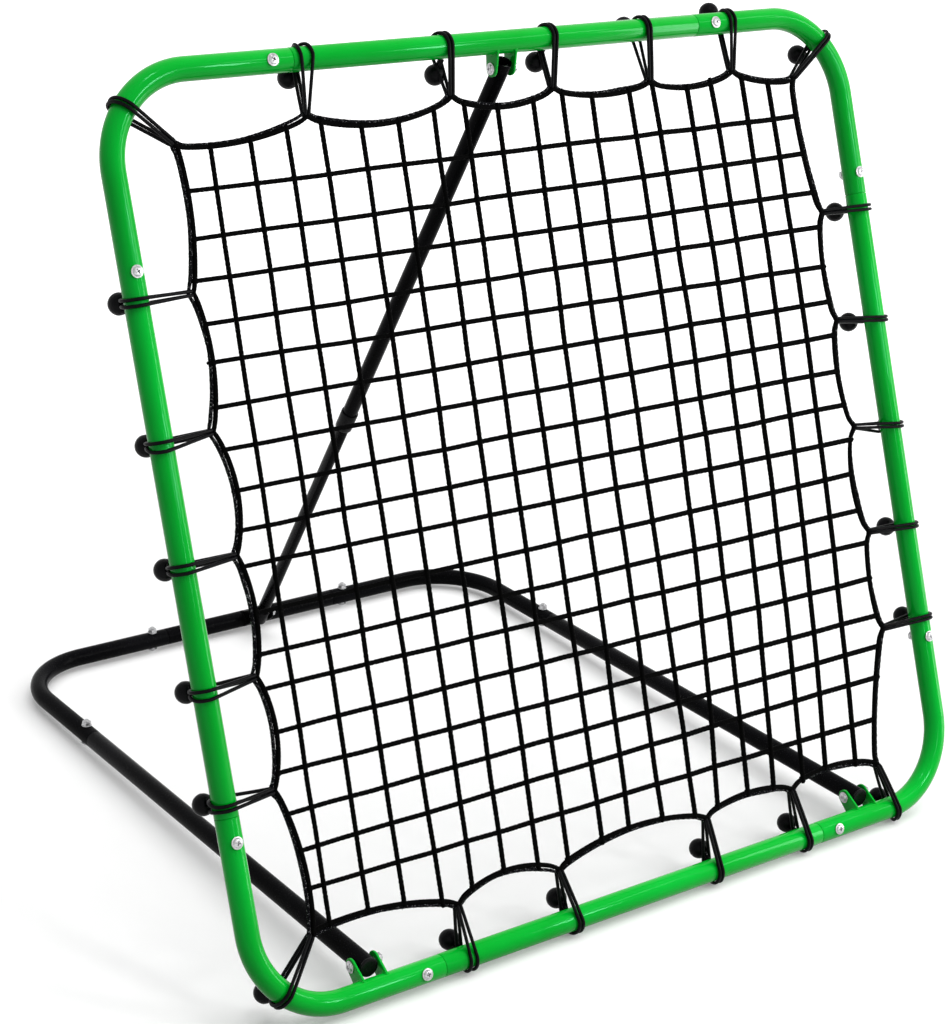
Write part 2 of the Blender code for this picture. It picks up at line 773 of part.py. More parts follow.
def slot_cutter(name, parent):
    """The lower pivot's slotted hole, which gives the open end of the linkage its play."""
    clear = BOLT_DIAMETER / 2 + GAP
    rounding = math.cos(math.pi / SLOT_SIDES)
    across = (clear + PIVOT_PLAY_ACROSS) / rounding
    along = (clear + PIVOT_PLAY_ALONG) / rounding
    outline = []
    for step in range(SLOT_SIDES):
        angle = math.tau * (step + 0.5) / SLOT_SIDES
        outline.append(Vector((0, across * math.cos(angle), along * math.sin(angle))))
    return helper(name, prism(name, outline, X_AXIS, -STRUT_OD, STRUT_OD), parent)


def make_strut(swing, slide, length, top_hole):
    """An outer tube hung from the top ears, with the inner tube sliding in it down to the rear ears."""
    outer = STRUT_OD / 2
    end = Z_AXIS * -STRUT_LENGTH
    meshes = straight_tube(
        "strut_outer_tube", Z_AXIS * STRUT_OVERHANG, end, outer, STRUT_WALL, Y_AXIS, (0, 0)
    )
    hollow("strut_outer_tube", meshes, "black_powder_coat", swing, (), [top_hole])
    make_collar(swing, end)
    inner = INNER_OD / 2
    top = Z_AXIS * (length - STRUT_LENGTH + INNER_INSERTED)
    bottom = Z_AXIS * -INNER_OVERHANG
    slot = slot_cutter("strut_slot", slide)
    meshes = straight_tube("strut_inner_tube", top, bottom, inner, INNER_WALL, Y_AXIS, (0, 0))
    hollow("strut_inner_tube", meshes, "black_powder_coat", slide, (), [slot])
    make_strut_cap(slide, slot, bottom)


def make_collar(swing, end):
    """A sleeve over the outer tube's lower end, whose lip guides the inner tube."""
    sleeve = STRUT_OD / 2 + GAP
    outside = sleeve + COLLAR_WALL
    low = end - Z_AXIS * (COLLAR_LIP + GAP)
    high = low + Z_AXIS * COLLAR_LENGTH
    body = rod("strut_collar", low, high, outside, TUBE_SIDES, Y_AXIS)
    collar = piece("strut_collar", body, "black_plastic", swing)
    guide = INNER_OD / 2 + GAP
    route = [low - Z_AXIS * 0.01, end - Z_AXIS * GAP, end - Z_AXIS * GAP, high + Z_AXIS * 0.01]
    radii = [guide, guide, sleeve, sleeve]
    cutter = sweep("strut_collar_bore", route, radii, TUBE_SIDES, Y_AXIS)
    combine(collar, helper("strut_collar_bore", cutter, swing), "DIFFERENCE")


def make_strut_cap(slide, slot, bottom):
    """A blind sleeve over the inner tube's lower end, slotted like the tube for the rear bolt."""
    sleeve = INNER_OD / 2 + GAP
    seat = bottom - Z_AXIS * GAP
    low = seat - Z_AXIS * STRUT_CAP_END
    high = low + Z_AXIS * STRUT_CAP_LENGTH
    body = rod("strut_end_cap", low, high, sleeve + STRUT_CAP_WALL, TUBE_SIDES, Y_AXIS)
    cap = piece("strut_end_cap", body, "black_plastic", slide)
    cutter = rod("strut_end_cap_bore", seat, high + Z_AXIS * 0.01, sleeve, TUBE_SIDES, Y_AXIS)
    combine(cap, helper("strut_end_cap_bore", cutter, slide), "DIFFERENCE")
    combine(cap, slot, "DIFFERENCE")


def main():
    clear_scene()
    make_finishes()
    sine, cosine = math.sin(FRAME_TILT), math.cos(FRAME_TILT)
    pivot_back = LEG_PIVOT_BACK * cosine + LEG_PIVOT_RISE * sine
    pivot_up = LEG_PIVOT_RISE * cosine - LEG_PIVOT_BACK * sine
    pivot_height = lowest_loop_drop() + pivot_up
    crossbar_height = BASE_OD / 2 + GAP + HEAD_HEIGHT
    slope = math.asin((pivot_height - crossbar_height) / LEG_REACH)
    depth = pivot_back + LEG_REACH * math.cos(slope)
    pivot = Vector((0, pivot_back - depth / 2, pivot_height))

    base = empty("base_plane", None, pivot, -slope)
    hinge = empty("frame_hinge", None, pivot, -FRAME_TILT)
    plane = empty("frame_plane", hinge, (0, -LEG_PIVOT_BACK, -LEG_PIVOT_RISE))
    top_hole = make_front_frame(plane)
    leg_holes = {
        side: bpy.data.objects[f"pivot_bolt_{side}_leg_hole"] for side in ("left", "right")
    }
    make_base(base, leg_holes, slope)

    top_rise = FRAME_HEIGHT - TOP_PIVOT_DROP - LEG_PIVOT_RISE
    top_back = TOP_PIVOT_BACK - LEG_PIVOT_BACK
    top_y = pivot.y + top_back * cosine + top_rise * sine
    top_z = pivot.z - top_back * sine + top_rise * cosine
    rear_y = depth / 2 - REAR_PIVOT_FORWARD
    rear_z = crossbar_height + REAR_PIVOT_RISE
    length = math.hypot(rear_y - top_y, top_z - rear_z)
    lean = math.atan2(rear_y - top_y, top_z - rear_z)
    top_place = (0, TOP_PIVOT_BACK, FRAME_HEIGHT - TOP_PIVOT_DROP)
    swing = empty("strut_swing", plane, top_place, lean + FRAME_TILT)
    slide = empty("strut_slide", swing, (0, 0, -length))
    make_strut(swing, slide, length, top_hole)

    found = hooks()
    for bungee in found:
        make_bungee(bungee, plane)
    make_rope(found, plane)
    make_net(found, plane)


main()
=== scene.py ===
"""The looks of a square rebounder net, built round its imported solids.

Metres, +Z up, front at -Y.
"""

import random
from math import acos, asin, atan2, copysign, cos, exp, pi, radians, sin, tanh, tau

import bmesh
import bpy
import numpy as np
from mathutils import Matrix, Vector


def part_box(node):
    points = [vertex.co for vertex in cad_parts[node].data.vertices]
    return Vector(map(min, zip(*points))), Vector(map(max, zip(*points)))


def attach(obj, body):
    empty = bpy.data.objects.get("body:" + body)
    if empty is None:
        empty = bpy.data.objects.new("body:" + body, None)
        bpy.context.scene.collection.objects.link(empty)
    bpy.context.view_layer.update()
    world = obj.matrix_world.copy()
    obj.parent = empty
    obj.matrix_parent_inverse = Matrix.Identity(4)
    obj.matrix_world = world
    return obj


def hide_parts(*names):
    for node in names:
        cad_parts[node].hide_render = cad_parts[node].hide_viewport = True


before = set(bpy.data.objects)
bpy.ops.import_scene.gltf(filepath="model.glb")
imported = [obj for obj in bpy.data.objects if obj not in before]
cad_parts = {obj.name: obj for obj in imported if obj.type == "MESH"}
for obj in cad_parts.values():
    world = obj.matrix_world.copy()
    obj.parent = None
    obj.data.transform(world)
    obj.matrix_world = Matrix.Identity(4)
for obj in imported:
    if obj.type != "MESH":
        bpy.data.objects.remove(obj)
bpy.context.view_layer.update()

MM = 0.001

# Fits
GAP = 0.0003
SPIGOT_LENGTH = 0.036

# Tube ends, edges, and how fine the meshes are
BORE_SHOWN = 0.02
BEVEL = 0.0002
RIM_ROUND = 0.0006
SHOULDER_ROUND = 0.0008
EAR_ROUND = 0.0005
TUBE_SIDES = 48
BEND_STEPS = 32
SHARP_ANGLE = 50

# Front frame, between tube centres
FRAME_WIDTH = 0.975
FRAME_HEIGHT = 0.950
FRAME_RADIUS = 0.0127
FRAME_TUBE = (FRAME_RADIUS, 0.0012)
FRAME_BEND = 0.095
FRAME_SEAM = 0.216
FRAME_BOLT = 0.191
FRAME_TILT = radians(21.7)

# U-shaped base
BASE_RADIUS = 0.011
BASE_WALL = 0.0012
BASE_TUBE = (BASE_RADIUS, BASE_WALL)
BASE_BEND = 0.095
BASE_SEAM = 0.222
BASE_BOLT = 0.202
LEG_INSET = 0.1345
LEG_SPACING = FRAME_WIDTH - 2 * LEG_INSET
LEG_REACH = 0.8145
LEG_OVERHANG = 0.009

# Two-ear brackets, with each pivot's place from the centre of the tube that carries it, and the
# share of that tube's radius at which an ear's sides meet it
EAR_THICKNESS = 0.0025
EAR_TIP_RADIUS = 0.009
EAR_ROOT = 0.93
EAR_STEPS = 24
LEG_EAR_GAP = 0.026
LEG_PIVOT = (0.0165, 0.0253)
STRUT_EAR_GAP = 0.022
TOP_PIVOT = (0.009, -0.0266)
REAR_PIVOT = (-0.031, 0.017)

# Weld beads at the ears' roots
WELD_REACH = 0.0105
WELD_STEPS = 60
WELD_SIDES = 10
WELD_RADIUS = 0.001
WELD_SWELL = 0.0004
WELD_RIPPLE = 0.00012
WELD_RIPPLE_TURN = 46
WELD_ROUGH = 0.0001
WELD_LEAST = 0.0004
WELD_TAPER = 0.35

# Telescopic strut
STRUT_RADIUS = 0.0095
STRUT_WALL = 0.0011
STRUT_LENGTH = 0.576
STRUT_OVERHANG = 0.009
INNER_RADIUS = 0.008
INNER_WALL = 0.0012
INNER_INSERTED = 0.150
INNER_OVERHANG = 0.010
COLLAR_LENGTH = 0.028
COLLAR_WALL = 0.0010
COLLAR_LIP = 0.0025
CAP_LENGTH = 0.022
CAP_WALL = 0.0010
CAP_END = 0.0022
CAP_ROUND = 0.0015
CAP_HOLE = 0.001
CAP_EDGE = (0.0005, 0.0004)
SLOT_REACH = 0.02
SLOT_SIDES = 32
PLAY_ALONG = 0.0036
PLAY_ACROSS = 0.0025
# The collar's edges and grooves, as (along, depth) pairs
COLLAR_LOW_EDGE = ((0, 0.0008), (0.0002, 0.0003), (0.0008, 0))
COLLAR_TOP_EDGE = ((0.0005, 0), (0.0001, 0.0002), (0, 0.0005))
GROOVE_PLACES = (0.006, 0.0095)
GROOVE = ((0, 0), (0.0003, 0.0004), (0.0009, 0.0004), (0.0012, 0))

# Leg end plugs, their dished face as (depth, radius) pairs
PLUG_FLANGE = 0.0025
PLUG_STEM = 0.0042
PLUG_ROUND = 0.0013
PLUG_DISH = ((0.0005, 0.0006), (0.0003, 0.0045), (0, BASE_RADIUS - 0.004))

# Bolts
BOLT_RADIUS = 0.003
BOLT_SHARP_ANGLE = 38
SHANK_RADIUS = BOLT_RADIUS * 0.9
SHANK_SIDES = 16
HEAD_RADIUS = 0.0066
HEAD_HEIGHT = 0.0032
HEAD_NECK_RADIUS = 0.0044
HEAD_NECK_DEPTH = 0.0013
FLANGE_TOP = 0.0010
FLANGE_ROUND = 0.0004
CROWN_SEAT = 0.0013
CROWN_RADIUS = 0.0050
CROWN_POWER = 0.55
NUT_RADIUS = 0.0058
NUT_HEIGHT = 0.005
NUT_FACE = 0.98
NUT_CHAMFER = 0.45
NUT_BORE = BOLT_RADIUS * 0.96
BOLT_PROUD = 0.0025
THREAD_PITCH = 0.001
THREAD_DEPTH = 0.16
THREAD_RINGS = 48
THREAD_SIDES = 24
THREAD_START = 0.001
TAIL_CHAMFER = 0.0004
TAIL_RADIUS = BOLT_RADIUS * 0.78
# The cross recess from the top down: height over the seat, reach of an arm, half its width
CROSS = (
    (HEAD_HEIGHT + 0.001, 0.0031, 0.00062), (0.0009, 0.0019, 0.00042), (0.0003, 0.0004, 0.0002),
)
# The washer's section under the nut: depth and radius
WASHER = 0.0009
DISC_SIDES = 40
DISC = (
    (0, 0.0029), (0, 0.0059), (0.0002, 0.0061), (0.0007, 0.0061), (WASHER, 0.0059),
    (WASHER, 0.0029),
)

# Bungees
VISIBLE_CORD = 0.0019
VISIBLE_ROPE = 0.0021
CORD_THICKNESS = 0.004
CORD_SIDES = 12
CORNER_SLACK = 0.0008
BALL_RADIUS = 0.0115
BALL_SIDES = 32
BALL_RINGS = 24
BALL_SEAM_RING = 11
BALL_SEAM_SWELL = 0.012
NECK_LENGTH = 0.004
INSET_TOP = 0.057
INSET_SIDE = 0.059
INSET_BOTTOM = 0.056
# The ball's mouth, as (depth, radius) pairs and the angle where the round begins
MOUTH = ((0.0022, 0.0012), (0.0014, 0.0040))
MOUTH_ANGLE = radians(20)
# How far the cord's ends run into the loop and into the ball, and their spread at the loop
ENDS_SUNK = 0.003
ENDS_SPREAD = 0.25
ENDS_RINGS = 9
# The depth over which a pair passes from its front place to its back one, and the shares of the
# tube's radius at which it starts to lean towards the hook, behind the tube and less in front
BACK_BLEND = 0.007
LEAN_START = 0.5
LEAN_SOONER = 0.7
BACK_SHIFT = 0.8
HOOK_SPREAD = 1.02
HOOK_POINTS, BACK_POINTS = 15, 34
RUN_SHARES = np.linspace(0, 1, 14)[1:-1]

# Bungees on straight tubes: where the next two are measured from, place on the tube, place of the
# hook, ball's angle behind the tube, its shift along the tube, and the border's sag after the hook.
# The last five are in millimetres, and say how it lies: its hook's shift towards the net and along
# the tube, then along the tube the place of its front pair, half the front pair's spread and half
# the back pair's spread.
BUNGEES = {
    "top": (
        ("left", 0.235, 0.2265, 64, 0.004, 0.0125, -1, 0, 4.2, 7.2, 2.2),
        ("middle", -0.074, -0.078, 36, 0.007, 0.008, -6, 1, 3.7, 2.4, 5.0),
        ("middle", 0.064, 0.058, 48, 0.005, 0.0065, -4, 0, 1.5, 2.4, 2.4),
        ("right", -0.2875, -0.2915, 107, 0.003, 0.008, -1, 0, 4.3, 2.3, 5.4),
        ("right", -0.1595, -0.1675, 122, 0.004, 0.0045, -3, 0, 6.3, 3.6, 2.0),
    ),
    "right": (
        ("top", -0.235, -0.232, 76, 0.002, 0.0075, 0, 0, 1.0, 2.6, 2.2),
        ("middle", 0.106, 0.114, 62, 0.002, 0.01, 2.5, 0, 0, 2.1, 2.2),
        ("middle", -0.024, -0.015, 127, 0.0, 0.0125, 0, 0, 0.4, 2.1, 5.5),
        ("bottom", 0.328, 0.332, 89, 0.0, 0.0085, 1.5, 0, 0, 2.1, 3.0),
        ("bottom", 0.213, 0.214, 98, 0.002, 0.006, 2.5, 0, 1.6, 2.1, 3.0),
    ),
    "bottom": (
        ("right", -0.2395, -0.2445, 62, 0.005, 0.0125, 2.4, 0, 0, 2.4, 4.6),
        ("middle", 0.112, 0.109, 48, 0.001, 0.017, 2.5, 1.5, -2.9, 2.4, 5.0),
        ("middle", -0.096, -0.102, 50, 0.002, 0.015, 0, 0, 2.3, 2.5, 4.2),
        ("left", 0.2545, 0.2495, 63, -0.004, 0.0095, -1, 0, -4.6, 4.2, 3.0),
    ),
    "left": (
        ("bottom", 0.234, 0.227, 102, 0.006, 0.008, -4.5, -2, 7.2, 2.4, 5.0),
        ("bottom", 0.348, 0.342, 97, 0.006, 0.008, -2.5, -3, 7.4, 4.6, 2.2),
        ("middle", -0.003, -0.008, 96, 0.006, 0.011, -1, -1, 5.8, 3.9, 2.2),
        ("middle", 0.12, 0.118, 90, 0.005, 0.0085, -3.5, 0, 7.4, 4.6, 2.2),
        ("top", -0.222, -0.223, 94, -0.004, 0.006, 1, -4, -1.2, 3.3, 3.0),
    ),
}
# Those on the bends: angle round the bend, two insets of the hook, then as above, and last the
# degrees by which the place on the bend is turned from the solid's
CORNER_BUNGEES = {
    "top_left": (141, 0.0715, 0.073, 70, 0.0, 0.0065, -4, 0, 0, 2.4, 2.2, -1.5),
    "top_right": (37, 0.0715, 0.069, 70, 0.006, 0.0065, 1.5, 0, 0, 2.1, 3.4, 5),
    "bottom_right": (280, 0.1035, 0.054, 77, -0.003, 0.0125, 0, -1, 0, 2.1, 4.5, -9.5),
    "bottom_left": (230, 0.0695, 0.074, 98, -0.008, 0.008, 0, 0, 0, 2.6, 2.2, -5),
}

# Net strands, in millimetres in the net's plane: x at three heights, and z at two places along x.
# A sway, rise or drift is given by how many points it takes to a swing, and its size.
UPRIGHTS = (
    (-378, -386, -393), (-331, -339, -346), (-287, -295, -302), (-245, -250.5, -256),
    (-197, -206, -215), (-150, -161.5, -172.5), (-104, -115.5, -127), (-64, -75, -87),
    (-21, -30, -38), (28, 15, 2), (69, 59, 49), (110, 103, 96),
    (163.5, 160.5, 133.5), (199, 197, 178.5), (248.5, 246, 219), (286, 286.5, 265),
    (333, 328.5, 303), (373, 371, 351),
)
UPRIGHT_HEIGHTS = [0.870, 0.480, 0.100]
ROWS = (
    (830.5, 834), (783, 789), (742, 743), (698.5, 701.5), (660, 655), (616, 613), (573, 572),
    (531, 529.5), (491, 488), (455, 446), (407, 405), (365, 360), (330, 320.5), (285, 277),
    (243.5, 231), (201, 194.5), (161.5, 158.5), (121, 110),
)
ROW_START = -0.400
ROW_LENGTH = 0.780
STRAND_RADIUS = 0.0031
STRAND_SPREAD = 0.0004
FIELD_HALF = 0.4
FIELD_MIDDLE = 0.45
CROSSING_PASSES = 4
STRAND_POINTS = 330
STRAND_SIDES = 8
STRAND_LIFT = 0.0006
STRAND_SWAY = (22, 0.0006)
STRAND_RISE = (30, 0.0006)
STRAND_TIE = 0.001
STRAND_END = 0.5
TAIL_SHARE = 0.4
TAIL_LENGTHS = (0.0035, 0.0060)
# Laid cord: plies, length of the lay and depth of the grooves
STRAND_LAY = (2, 0.0085, 0.16)
TWINE_LAY = (3, 0.011, 0.10)
# Half sizes of the knots where two strands cross and where each kind of strand ends
KNOT_RINGS, KNOT_SIDES = 6, 8
KNOT_LUMP = 0.12
CROSSING_KNOT = (0.0034, 0.0030, 0.0034)
EDGE_KNOTS = {0: (0.0041, 0.0036, 0.0036), 2: (0.0036, 0.0036, 0.0041)}

# The border rope and the net's edge twine inside it: insets from the scallops' line between hooks
# and at them, places towards the back, and how far from a hook the border is still held by it
BORDER_STEPS = 30
HOOK_INSET = -0.0022
HOOK_WIDTH = 0.0075
PINCH = 0.85
ROPE_INSET = 0.0010
ROPE_BACK = 0.0008
ROPE_DRIFT = (14, 0.0021)
ROPE_UNEVEN = (4, 0.10)
PLAIT_LENGTH = 0.030
PLAIT_STRANDS = 4
PLAIT_DEPTH = 0.12
TWINE_RADIUS = 0.0027
TWINE_INSET = 0.0047
TWINE_HOOK_INSET = 0.0030
TWINE_HOOK_BACK = -0.0020
TWINE_PINCH = 0.08
# How many times denser their lines are made, and their sides
ROPE_DETAIL, TWINE_DETAIL = 4, 3
ROPE_SIDES, TWINE_SIDES = 16, 14

# The rope's fuzz
FIBRES = 5200
FIBRE_RADIUS = 0.00011
FIBRE_LENGTHS = (0.0008, 0.0022)
FIBRE_BEND = 0.0006
FIBRE_ROOT = 0.85
FIBRE_TAPER = ((0, 1.0), (0.6, 0.8), (1, 0.15))
FIBRE_FLAT = 0.7

# Finishes: where in a pattern's values a colour or a roughness passes over into the next
GRAIN_RANGE = (0.3, 0.7)
CLOUD_RANGE = (0.35, 0.65)
SPECKLE_RANGE = (0.62, 0.75)
FIBRE_RANGE = (0.57, 0.74)
FLECK_GAIN, FLECK_LIFT = 2.2, 0.02

# Stage, lights and camera. The sun's direction, angle and strength, and for each panel of light its
# place, target, width, height and radiance
FLOOR_HALF = 40.0
FLOOR_HEIGHT = -0.0004
FLOOR_THROWS = (0.28, 0.28, 0.28)
FLOOR_SEEN = (0.80, 0.80, 0.80)
FLOOR_GLOW = (0.20, 0.60)
FLOOR_GLOW_REACH = (0.8, 2.6)
UNSEEN_WORLD = 0.24
SUN = ((0.30, 0.05, 0.95), 80, 0.79)
PANELS = {
    "key": ((1.30, -2.42, 1.60), (0, -0.2, 0.6), 0.3, 0.55, 27),
    "side_strip": ((0.35, -2.9, 1.45), (0, -0.2, 0.6), 0.25, 0.9, 8),
    "edge_strip": ((2.62, -1.75, 1.0), (0, 0, 0.5), 0.6, 2.2, 8),
    "top_box": ((1.8, -1.8, 2.5), (0, 0, 0.6), 1.3, 0.25, 6),
    "glint": ((0.0, -1.0, 3.0), (0.2, -0.3, 0.3), 0.3, 0.3, 20),
}
FILM = 36
FOCAL_SHARE = 2363.6 / 1024
CAMERA_SHIFT = (-0.00015, 0.00065)
CAMERA_PLACE = (-1.5486, -2.0977, 1.4010)
CAMERA_WAY = (0.5614, 0.7348, -0.3808)
CAMERA_ROLL = radians(-3.669)

HALF_WIDTH = FRAME_WIDTH / 2
X_AXIS = Vector((1, 0, 0))
Y_AXIS = Vector((0, 1, 0))
Z_AXIS = Vector((0, 0, 1))
random.seed(7)


# Frames of the four bodies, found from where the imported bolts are

def moved(*place):
    return Matrix.Translation(place)


def turned_x(angle):
    return Matrix.Rotation(angle, 4, "X")


def middle(node):
    low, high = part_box(node)
    return (low + high) / 2


LEG_PIN = middle("pivot_bolt_left_leg")
REAR_Z = BASE_RADIUS + GAP + HEAD_HEIGHT
SLOPE = asin((LEG_PIN.z - REAR_Z) / LEG_REACH)
HINGE = moved(0, LEG_PIN.y, LEG_PIN.z)
PLANE = HINGE @ turned_x(-FRAME_TILT) @ moved(0, -LEG_PIVOT[0], -LEG_PIVOT[1])
BASE = HINGE @ turned_x(-SLOPE)
LEVEL = BASE @ moved(0, LEG_REACH, 0) @ turned_x(SLOPE)
TOP_PIN = PLANE @ Vector((0, TOP_PIVOT[0], FRAME_HEIGHT + TOP_PIVOT[1]))
REAR_PIN = LEVEL @ Vector((0, *REAR_PIVOT))
REACH = (REAR_PIN - TOP_PIN).length
LEAN = atan2(REAR_PIN.y - TOP_PIN.y, TOP_PIN.z - REAR_PIN.z)
SWING = moved(*TOP_PIN) @ turned_x(LEAN)
SLIDE = SWING @ moved(0, 0, -REACH)
BOLT_ACROSS = Matrix.Rotation(-pi / 2, 4, "Y")


# Mesh making

def corners(grid):
    """The four values at the corners of each square of a grid."""
    return np.stack([grid[:-1, :-1], grid[:-1, 1:], grid[1:, 1:], grid[1:, :-1]], 2).reshape(-1, 4)


class Form:
    """Closed shells gathered into one mesh, with u round each ring and v along it in metres."""

    def __init__(self, rows=None, closed=False):
        self.points, self.faces, self.uvs, self.count = [], [], [], 0
        if rows is not None:
            self.shell(rows, closed)

    def shell(self, rows, closed=False):
        rows = np.asarray(rows, float)
        n, m, _ = rows.shape
        middles = rows.mean(axis=1)
        along = lengths(np.append(middles, middles[:1], 0))
        grid = np.arange(n * m).reshape(n, m)
        if closed:
            grid = np.append(grid, grid[:1], 0)
        quads = corners(np.append(grid, grid[:, :1], 1))
        u, v = map(corners, np.meshgrid(np.arange(m + 1) / m, along[:len(grid)]))
        flat = rows.reshape(-1, 3)
        a, b, c, d = (flat[quads[:, k]] for k in range(4))
        volume = (a * (np.cross(b, c) + np.cross(c, d))).sum()
        if not closed:
            for ring, sign in ((rows[0], -1), (rows[-1], 1)):
                volume += sign * (ring[0] * np.cross(ring[1:-1], ring[2:])).sum()
        flip = volume < 0
        if flip:
            quads, u, v = quads[:, ::-1], u[:, ::-1], v[:, ::-1]
        self.faces += (quads + self.count).tolist()
        self.uvs.append(np.stack([u, v], 2).reshape(-1, 2))
        if not closed:
            first = np.arange(m)
            last = first + (n - 1) * m
            caps = (first, last[::-1]) if flip else (first[::-1], last)
            for cap, place in zip(caps, (along[0], along[n - 1])):
                self.faces.append((cap + self.count).tolist())
                self.uvs.append(np.tile([0.5, place], (m, 1)))
        self.points.append(flat)
        self.count += n * m

    def mesh(self, name):
        mesh = bpy.data.meshes.new(name)
        mesh.from_pydata(np.concatenate(self.points).tolist(), [], self.faces)
        layer = mesh.uv_layers.new(name="UVMap")
        layer.data.foreach_set("uv", np.concatenate(self.uvs).astype(np.float32).ravel())
        mesh.shade_smooth()
        mesh.set_sharp_from_angle(angle=radians(SHARP_ANGLE))
        return mesh


def unit(v):
    v = np.asarray(v, float)
    return v / np.linalg.norm(v, axis=-1, keepdims=True)


def lengths(points):
    """How far along a path each of its points is."""
    steps = np.linalg.norm(np.diff(points, axis=0), axis=1)
    return np.concatenate([[0.0], np.cumsum(steps)])


def rings(centres, radii, sides, normal, closed=False, tangents=None, shape=None):
    """Rings square to a path that lies close to the plane square to normal."""
    centres = np.asarray(centres, float)
    if tangents is None and closed:
        tangents = np.roll(centres, -1, 0) - np.roll(centres, 1, 0)
    elif tangents is None:
        tangents = np.gradient(centres, axis=0)
    tangents = unit(tangents)
    across = unit(np.cross(np.asarray(normal, float), tangents))
    up = np.cross(tangents, across)
    angle = tau * (np.arange(sides) + 0.5) / sides
    radii = np.broadcast_to(np.asarray(radii, float), len(centres))[:, None]
    if shape is not None:
        radii = radii * shape(angle[None, :], lengths(centres)[:, None])
    return (
        centres[:, None, :]
        + across[:, None, :] * (radii * np.cos(angle))[..., None]
        + up[:, None, :] * (radii * np.sin(angle))[..., None]
    )


def turned(profile, sides, origin=(0, 0, 0), axis=(0, 0, 1), normal=(1, 0, 0), shape=None):
    """Rings of a turned piece: profile is (place along the axis, radius) pairs."""
    origin, axis = np.asarray(origin, float), unit(axis)
    places = np.array([p for p, _ in profile])
    centres = origin + places[:, None] * axis
    directions = np.tile(axis, (len(profile), 1))
    return rings(centres, [r for _, r in profile], sides, normal, False, directions, shape)


def rounded(place, radius, size, turns=(0, 30, 60, 90)):
    """A quarter round from a turned piece's face to its side, as (place, radius) pairs."""
    angles = [radians(turn) for turn in turns]
    return [(place + size * (1 - cos(a)), radius - size * (1 - sin(a))) for a in angles]


def placed(name, data):
    made = bpy.data.objects.new(name, data)
    bpy.context.scene.collection.objects.link(made)
    return made


def show(name, mesh, finish, body, place, node):
    """A piece of the shown object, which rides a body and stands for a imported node."""
    mesh.transform(place)
    mesh.materials.clear()
    mesh.materials.append(bpy.data.materials[finish])
    obj = placed(name, mesh)
    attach(obj, body)
    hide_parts(node)


def show_form(node, form, finish, body, place):
    """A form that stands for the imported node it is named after."""
    show(node + "_form", form.mesh(node), finish, body, place, node)


def cut(mesh, cutter):
    """The mesh less another, which is used up."""
    work, tool = (placed(m.name, m) for m in (mesh, cutter))
    modifier = work.modifiers.new("cut", "BOOLEAN")
    modifier.operation, modifier.solver, modifier.object = "DIFFERENCE", "EXACT", tool
    bpy.context.view_layer.update()
    graph = bpy.context.evaluated_depsgraph_get()
    made = bpy.data.meshes.new_from_object(work.evaluated_get(graph))
    bpy.data.objects.remove(work)
    bpy.data.objects.remove(tool)
    return made


# Tubes

def open_end(centre, inward, radius, wall):
    """Rings from down the bore, over the rim, to the outside, as (centre, radius) pairs."""
    bore = radius - wall
    steps = [(BORE_SHOWN, bore), (BEVEL, bore), (0, bore + BEVEL)]
    steps += rounded(0, radius, RIM_ROUND, (0, 22.5, 45, 67.5, 90))
    return [(centre + inward * along, r) for along, r in steps]


def shoulder_end(centre, inward, radius, wall):
    """Rings of a narrowed end that fits in its neighbour, up to the shoulder's full radius."""
    spigot = radius - wall - GAP
    steps = [(GAP - SPIGOT_LENGTH, spigot), (0, spigot)]
    steps += rounded(0, radius, SHOULDER_ROUND)
    return [(centre + inward * along, r) for along, r in steps]


def pipe(route, ends, normal):
    """A tube along a route of points, with the given rows of rings at its two ends."""
    first, last = ends
    first_way = (route[1] - route[0]).normalized()
    last_way = (route[-1] - route[-2]).normalized()
    centres = [c for c, _ in first] + list(route[1:-1]) + [c for c, _ in reversed(last)]
    radii = [r for _, r in first] + [first[-1][1]] * (len(route) - 2)
    radii += [r for _, r in reversed(last)]
    tangents = [first_way] * len(first)
    for before, here, after in zip(route, route[1:-1], route[2:]):
        tangents.append(((here - before).normalized() + (after - here).normalized()).normalized())
    tangents += [last_way] * len(last)
    return Form(rings(centres, radii, TUBE_SIDES, normal, False, tangents))


def bend_route(corner, along, down, bend, seam):
    centre = corner + along * bend + down * bend
    route = [corner + along * seam]
    for step in range(BEND_STEPS + 1):
        angle = pi / 2 * step / BEND_STEPS
        route.append(centre - (down * cos(angle) + along * sin(angle)) * bend)
    return route + [corner + down * seam]


def bend_tube(corner, along, down, bend, seam, radius, wall, normal):
    route = bend_route(corner, along, down, bend, seam)
    ends = open_end(route[0], -along, radius, wall), open_end(route[-1], -down, radius, wall)
    return pipe(route, ends, normal)


def straight_tube(start, end, radius, wall, normal=Y_AXIS, narrowed=(True, True)):
    """A straight tube between two seams. narrowed says which ends fit inside a neighbour."""
    way = (end - start).normalized()
    made = []
    for point, inward, reduced in ((start, way, narrowed[0]), (end, -way, narrowed[1])):
        make = shoulder_end if reduced else open_end
        made.append(make(point, inward, radius, wall))
    return pipe([start, end], made, normal)


# Brackets

def offset_outline(outline, inset):
    points = np.array(outline)
    edges = np.roll(points, -1, 0) - points
    normals = unit(np.stack([edges[:, 1], -edges[:, 0]], 1))
    before = np.roll(normals, 1, 0)
    share = 1 + (normals * before).sum(1, keepdims=True)
    return points - (normals + before) / share * inset


